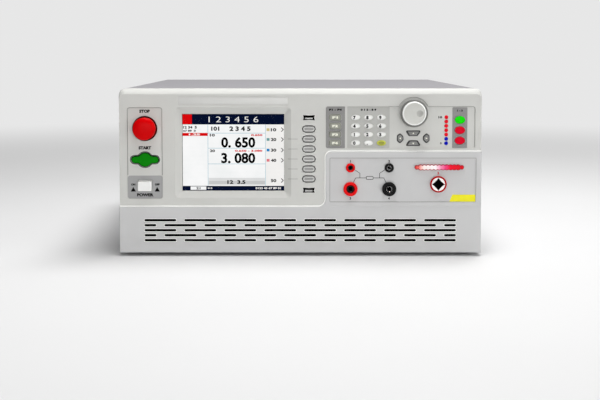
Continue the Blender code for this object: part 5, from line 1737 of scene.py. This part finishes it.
@dataclass
class LampColumn:
    """The column of seven lamps on their strip, with plain numbers at its ends."""

    pitch: float = 0.00515
    diameter: float = 0.0049
    dome: float = 0.0012
    lenses: tuple[Lens, ...] = (Lens.RED,) * 5 + (Lens.BLUE,) * 2
    strip_depth: float = 0.003
    number_height: float = 0.0024

    def build(self) -> None:
        """Makes the strip with its lenses and the numbers."""
        seat = Seat("lamp_column")
        base, front = seat.back - self.strip_depth, seat.face
        mesh = bmesh.new()
        strip = bar(seat.width, seat.height, FINE)
        add_loft(mesh, strip, [(seat.back, 0.0), (base, 0.0)], seat.place, 2)
        top = seat.z + self.pitch * (len(self.lenses) - 1) / 2
        for index, lens in enumerate(self.lenses):
            dome = [(base, 0.0), (front + self.dome, 0.0)] + edge(front, 0.0, self.dome, 7)
            centre = (seat.x, top - self.pitch * index)
            add_loft(mesh, disc(self.diameter, 32), dome, centre, list(Lens).index(lens))
        settle("lamp_lenses", mesh, [LAMP_RED, LAMP_BLUE, HOLLOW_SHADE], "lamp_red", node=seat.node)
        ends = [
            (lettering("10", self.number_height, 0.0046, 0.07), (seat.x - 0.0072, top)),
            (lettering("0", self.number_height, 0.0, 0.07), (seat.x - 0.0062, top - self.pitch * 6)),
        ]
        printed("lamp_numbers", GREY_INK, ends, RECESS_FLOOR)


@dataclass
class TerminalBay:
    """The sockets, the lamp strip and the prints of the terminal bay."""

    sense_bore: float = 0.0044
    drive_bore: float = 0.0061
    sense_sleeve: float = 0.0002
    drive_sleeve: float = 0.0012
    bore_depth: float = 0.018
    barrel: float = 0.003
    star_across: float = 0.0157
    star_power: float = 0.85
    star_depth: float = 0.014
    insert: float = 0.0159
    steps: int = 96
    lobes: int = 13
    lobe_pitch: float = 0.00445
    lobe_radius: float = 0.0035
    lobe_end: float = 0.0026
    line: float = 0.0006
    load: Point = (0.0086, 0.0042)
    load_drop: float = 0.0121
    riser: float = 0.0117
    reach: float = 0.0166
    upper: Point = (0.0094, 0.0022)
    bend_drop: float = 0.0066
    foot: Point = (0.0042, 0.0082)
    nut: Point = (FACE + 0.0018, FACE + 0.0048)
    patch_corners: tuple[Point, ...] = (
        (0.1768, 0.0652),
        (0.2079, 0.0652),
        (0.2079, 0.0736),
        (0.1806, 0.0736),
    )

    def build(self) -> None:
        """Makes the sockets, the strip and the prints."""
        for colour, finish in (("red", SOCKET_RED), ("black", SOCKET_BLACK)):
            self.socket(f"sense_terminal_{colour}", finish, self.sense_bore, self.sense_sleeve)
            self.socket(f"drive_terminal_{colour}", finish, self.drive_bore, self.drive_sleeve)
        self.high_socket()
        self.strip()
        self.circuit()
        self.prints()

    def socket(self, node: str, finish: Finish, bore: float, sleeve: float) -> None:
        """Makes a test socket: a collar, a sleeve round a plated contact and a nut behind the wall.

        Args:
            node: the socket's node.
            finish: finish of its collar.
            bore: diameter of its bore.
            sleeve: thickness of the dark sleeve round the contact.
        """
        seat = Seat(node)
        width, place, front = seat.width, seat.place, seat.face
        inner = bore + 2 * sleeve + 0.0012
        floor, end = SOCKET_FOOT, front + self.bore_depth
        barrel, nut = width - 2 * self.barrel, disc(width - self.barrel * 2 / 3, 6)
        mesh = bmesh.new()
        add_ring(mesh, disc(width), disc(inner), (front, floor), place, 0, 0.0007)
        add_ring(mesh, disc(barrel), disc(bore + 0.0002), (floor, seat.back), place, 3)
        add_ring(mesh, nut, disc(barrel + 0.0002, 6), self.nut, place, 1, 0.0003)
        add_ring(mesh, disc(inner - 0.0001), disc(bore + 0.0011), (front + 0.0012, floor), place, 3)
        add_ring(mesh, disc(bore + 0.001), disc(bore), (front + 0.0010, end), place, 2, 0.0002)
        add_loft(mesh, disc(bore + 0.0001), [(end + 0.001, 0.0), (end, 0.0)], place, 3)
        # The hollow finish paints the shade deep in the bore, and the darker sleeve paints the shade in the
        # red sockets' bores.
        finishes = [finish, CHROME, SLEEVE_SHADE if finish is SOCKET_RED else CHROME, HOLLOW_SHADE]
        settle(f"{node}_body", mesh, finishes, node.split("_", 1)[1], node=node)

    def high_socket(self) -> None:
        """Makes the high voltage socket with its pale insert and star-shaped mouth."""
        seat = Seat("hv_socket")
        place, front, floor, steps = seat.place, seat.face, SOCKET_FOOT, self.steps
        face, end = front + 0.0006, front + self.star_depth
        mouth, insert = star(self.star_across, self.star_power, steps), disc(self.insert - 0.0001, steps)
        mesh = bmesh.new()
        add_ring(mesh, disc(seat.width, steps), disc(self.insert, steps), (front, floor), place, 0, 0.0008)
        # The walls and floor of the star mouth are black painted shade.
        add_ring(mesh, insert, mouth, (face, face + 0.0006), place, 1)
        add_ring(mesh, insert, mouth, (face + 0.0006, end), place, 2)
        barrel = (disc(seat.width - 0.006, steps), disc(self.insert - 0.0016, steps))
        add_ring(mesh, *barrel, (floor + 0.0001, seat.back), place, 0)
        add_loft(mesh, disc(self.insert - 0.0004, steps), [(end + 0.001, 0.0), (end - 0.0002, 0.0)], place, 2)
        settle("hv_socket_body", mesh, [HIGH_RED, INSULATOR, HOLLOW_SHADE], "terminal_red", node=seat.node)

    def strip(self) -> None:
        """Makes the scalloped strip, whose colour runs from red over white to pink and red; the white stretch
        is a painted highlight.
        """
        seat = Seat("warning_lamp_strip")
        stops = (
            (0.00, shade(214, 36, 40)),
            (0.08, shade(238, 112, 100)),
            (0.19, shade(252, 238, 234)),
            (0.42, shade(252, 244, 246)),
            (0.52, shade(244, 150, 186)),
            (0.62, shade(238, 70, 132)),
            (0.72, shade(240, 0, 40)),
            (1.00, shade(206, 4, 16)),
        )
        lens = Graded("strip_lens_highlight_run", shade(230, 90, 90), stops=stops, left=seat.left, right=seat.right)
        shape = lobed_bar(self.lobes, self.lobe_pitch, self.lobe_radius, self.lobe_end)
        mesh = bmesh.new()
        step = seat.face + 0.0005
        add_loft(mesh, shape, [(seat.back, 0.0)] + edge(step, 0.0, 0.0003, 3), seat.place, 1)
        add_loft(mesh, shape, [(step + 0.0002, 0.0008), (seat.face, 0.0008)], seat.place, 0)
        settle("lamp_strip", mesh, [lens, STRIP_EDGE], "strip_lens", node=seat.node)

    def circuit(self) -> None:
        """Prints the lines that join the sockets, with a load between them."""
        left, right = Seat("sense_terminal_red"), Seat("sense_terminal_black")
        x, z = (left.x + right.x) / 2, left.z - self.load_drop
        marks = []
        gap, drop = self.upper
        for side in (-1, 1):
            upper = (x + side * (right.x - left.x - gap) / 2, left.z - drop)
            bend, foot = (x + side * self.riser, left.z - self.bend_drop), (x + side * self.riser, z)
            start, end = (x + side * self.load[0] / 2, z), (x + side * self.reach, z)
            lower = (x + side * (self.reach + self.foot[0]), z - self.foot[1])
            for ends in ((upper, bend), (bend, foot), (start, end), (end, lower)):
                marks.append(stroke(*ends, self.line))
        load = bar(*self.load, 0.001)
        marks.append((filled([load(), load(self.line)]), (x, z)))
        printed("circuit_lines", BLACK_INK, marks, BAY_FLOOR)

    def prints(self) -> None:
        """Prints a plain number at each socket, and the blank yellow patch at the lower right."""
        nodes = [f"{use}_terminal_{colour}" for use in ("sense", "drive") for colour in ("red", "black")]
        numbers = []
        for number, node, rise in zip("1234", nodes, (0.0078, 0.0078, -0.0112, -0.0112)):
            seat = Seat(node)
            numbers.append((lettering(number, 0.0028, 0.0, 0.06), (seat.x, seat.z + rise)))
        printed("socket_numbers", BLACK_INK, numbers, BAY_FLOOR)
        seat = Seat("hv_socket")
        number = (lettering("5", 0.0030, 0.0, 0.06), (seat.x, seat.z + 0.0131))
        printed("high_number", RED_INK, [number], BAY_FLOOR)
        shape = rounded([(*corner, 0.0005) for corner in self.patch_corners], 3)
        printed("yellow_patch", YELLOW_INK, [(filled([shape()], FILM / 2), HERE)], BAY_FLOOR)


class Side(Enum):
    """Faces of the case that carry screws, with the direction that their heads point to."""

    REAR = (0.0, 1.0, 0.0)
    UNDER = (0.0, 0.0, -1.0)


def screws(name: str, places: Sequence[Sequence[float]], side: Side, diameter: float, rise: float) -> None:
    """Makes domed screw heads with cross recesses, as one piece.

    Args:
        name: name of the piece.
        places: middles of their seats.
        side: the face that they stand on.
        diameter: diameter of a head.
        rise: how far it stands out.
    """
    mesh = bmesh.new()
    steps, rows, arm, sunk = 32, 6, 0.85, 0.45
    for place in places:
        known = len(mesh.verts)
        rings = []
        for row in range(rows):
            angle = math.pi / 2 * row / rows
            radius, height = diameter / 2 * math.cos(angle), rise * math.sin(angle)
            ring = []
            for step in range(steps):
                turn = 2 * math.pi * step / steps
                low = sunk if abs(math.cos(2 * turn)) > arm and row >= rows - 3 else 1.0
                ring.append(mesh.verts.new((radius * math.cos(turn), radius * math.sin(turn), height * low)))
            rings.append(ring)
        skin(mesh, rings, True)
        seat = Vector((0.0, 0.0, 1.0)).rotation_difference(Vector(side.value)).to_matrix().to_4x4()
        seat.translation = place
        bmesh.ops.transform(mesh, matrix=seat, verts=mesh.verts[known:])
    settle(name, mesh, [CHROME], "galvanised_sheet")


@dataclass
class Case:
    """The cover, tray, rear plate and feet, with the screws that hold them."""

    screw: Point = (0.0062, 0.0011)
    screw_inset: float = 0.0084
    foot_screw: Point = (0.006, 0.0004)
    foot_seat: float = 0.0004

    def build(self) -> None:
        """Dresses the case and sets its screws."""
        dress(COVER_PAINT, "top_cover")
        dress(REAR_PAINT, "rear_panel")
        dress(ZINC, "chassis_tray")
        feet = [f"foot_{row}_{side}" for row in ("front", "rear") for side in ("left", "right")]
        dress(FOOT_RUBBER, *feet)
        low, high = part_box("rear_panel")
        inset = self.screw_inset
        corners = [(x, z) for x in (low.x + inset, high.x - inset) for z in (low.z + inset, high.z - inset)]
        screws("rear_screws", [(x, high.y, z) for x, z in corners], Side.REAR, *self.screw)
        places = [(sum(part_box(node), Vector()) / 2).xy.to_tuple() + (self.foot_seat,) for node in feet]
        screws("foot_screws", places, Side.UNDER, *self.foot_screw)


@dataclass
class FanGroup:
    """The fan's frame, rotor and snap-on finger guard at the rear."""

    nodes: tuple[str, ...] = ("fan_frame", "fan_rotor", "fan_guard")

    def build(self) -> None:
        """Dresses the fan."""
        dress(FAN_PLASTIC, *self.nodes)


@dataclass
class Inlet:
    """The mains inlet with its pins and screws."""

    pin_spacing: float = 0.007
    pin_drop: float = 0.002
    pin: Point = (0.0021, 0.0041)
    pin_reach: float = 0.0109
    cavity_depth: float = 0.016
    screw: Point = (0.0056, 0.0009)
    screw_inset: float = 0.0052

    def build(self) -> None:
        """Dresses the inlet, plates its pins and sets its screws."""
        dress(INLET_PLASTIC, "mains_inlet")
        seat = Seat("mains_inlet")
        floor = seat.back - self.cavity_depth
        tip = floor + self.pin_reach + 0.0003
        mesh = bmesh.new()
        for step in (-1, 0, 1):
            place = (seat.x + self.pin_spacing * step, seat.z + (-self.pin_drop if step else self.pin_drop))
            stations = [(floor + 0.0002, 0.0), (tip - 0.0006, 0.0), (tip, 0.0005)]
            add_loft(mesh, bar(*self.pin, 0.0002, 3), stations, place)
        settle("inlet_pins", mesh, [CHROME], "port_black")
        sides = (seat.left + self.screw_inset, seat.right - self.screw_inset)
        screws("inlet_screws", [(x, seat.back, seat.z) for x in sides], Side.REAR, *self.screw)


@dataclass
class Inside:
    """The boards and the transformer, of which only the fan's guard lets a part be seen."""

    boards: tuple[str, ...] = ("front_board", "main_board")

    def build(self) -> None:
        """Dresses what stands inside the case."""
        dress(BOARD, *self.boards)
        dress(STEEL, "hv_transformer")


@dataclass(frozen=True)
class Lamp:
    """A soft lamp of the studio, which faces the middle of the instrument."""

    name: str
    place: tuple[float, float, float]
    size: Point
    power: float

    def hang(self) -> None:
        """Hangs the lamp."""
        light = bpy.data.lights.new(self.name, "AREA")
        light.shape = "RECTANGLE"
        light.size, light.size_y = self.size
        light.energy = self.power
        lamp = put(self.name, light)
        lamp.location = self.place
        aim = (CAD_BOX[0] + CAD_BOX[1]) / 2 - Vector(self.place)
        lamp.rotation_euler = aim.to_track_quat("-Z", "Y").to_euler()
        MADE.append(self.name)


@dataclass
class Studio:
    """The pale floor, the lamps and the camera."""

    distance: float = 1.2565
    eye: Point = (-0.0118, 0.2404)
    pitch: float = 4.0
    lens: float = 63.9
    shift: Point = (0.0162, -0.1197)
    floor_size: float = 30.0
    floor_fade: Point = (0.6, 2.4)
    backdrop: float = 0.8
    fill: float = 0.24
    lamps: tuple[Lamp, ...] = (
        Lamp("overhead", (0.2, -0.1, 1.6), (1.6, 0.5), 31.0),
        Lamp("front", (0.3, -3.0, 0.5), (2.6, 0.8), 23.0),
        Lamp("right", (2.3, -1.4, 0.8), (1.0, 1.2), 12.0),
        Lamp("back", (0.2, 2.2, 2.2), (2.4, 1.2), 6.0),
    )

    def build(self) -> None:
        """Lays the floor, hangs the lamps and sets the camera."""
        self.world()
        self.floor()
        for lamp in self.lamps:
            lamp.hang()
        self.camera()

    def world(self) -> None:
        """Surrounds the scene with even light, and shows it pale behind the floor."""
        world = bpy.data.worlds.new("studio_air")
        graph = Graph(world, "Background")
        seen = graph.node("LightPath", {}).outputs["Is Camera Ray"]
        level = graph.node("MapRange", {"To Min": self.fill, "To Max": self.backdrop, "Value": seen})
        graph.shade(Color=(1.0, 1.0, 1.0, 1.0), Strength=level.outputs["Result"])
        bpy.context.scene.world = world

    def floor(self) -> None:
        """Lays a pale floor that turns into the backdrop with the distance from the instrument."""
        mesh = bmesh.new()
        half = self.floor_size / 2
        corners = [(-half, -half), (half, -half), (half, half), (-half, half)]
        mesh.faces.new([mesh.verts.new((x, y, 0.0)) for x, y in corners])
        data = stored("floor", mesh)
        data.materials.append(self.floor_finish())
        put("floor", data)
        MADE.append("floor")

    def floor_finish(self) -> bpy.types.Material:
        """Gives the floor's matt finish, with the backdrop's glow for the camera far away.

        Returns:
            The material.
        """
        material = bpy.data.materials.new("floor_matt")
        graph = Graph(material)
        Finish("floor_matt", shade(222, 222, 222), variation=0.01, grain=0.01).tint(graph)
        graph.shade(Roughness=0.7, Specular_IOR_Level=0.2)
        away = graph.node("VectorMath", {0: graph.place()}, operation="LENGTH")
        near, far = self.floor_fade
        values = {"From Min": near, "From Max": far, "Value": away.outputs["Value"]}
        share = graph.node("MapRange", values, interpolation_type="SMOOTHSTEP").outputs["Result"]
        camera = graph.node("LightPath", {}).outputs["Is Camera Ray"]
        seen = graph.node("Math", {0: share, 1: camera}, operation="MULTIPLY").outputs["Value"]
        glow = graph.node("Emission", {"Strength": self.backdrop}).outputs["Emission"]
        blend = graph.node("MixShader", {"Fac": seen, 1: graph.shader.outputs["BSDF"], 2: glow})
        graph.fill(graph.tree.nodes["Material Output"], {"Surface": blend.outputs["Shader"]})
        return material

    def camera(self) -> None:
        """Sets the camera in front of the instrument, a little above its top."""
        camera = bpy.data.cameras.new("camera")
        camera.lens = self.lens
        camera.shift_x, camera.shift_y = self.shift
        view = put("camera", camera)
        view.location = (self.eye[0], FACE - self.distance, self.eye[1])
        view.rotation_euler = (math.radians(90 - self.pitch), 0.0, 0.0)
        bpy.context.scene.camera = view
        bpy.context.scene.view_settings.view_transform = "Standard"
        MADE.append("camera")


def main() -> None:
    """Builds every group in order and reports each piece."""
    logging.basicConfig(level=logging.INFO, format="%(message)s")
    groups = (
        Mouldings(),
        SwitchColumn(),
        Screen(),
        SoftKeys(),
        KeyPads(),
        Knob(),
        LampColumn(),
        TerminalBay(),
        Case(),
        FanGroup(),
        Inlet(),
        Inside(),
        Studio(),
    )
    for group in groups:
        group.build()
        for piece in MADE:
            LOG.info("%s: %s", type(group).__name__, piece)
        MADE.clear()


if __name__ == "__main__":
    main()
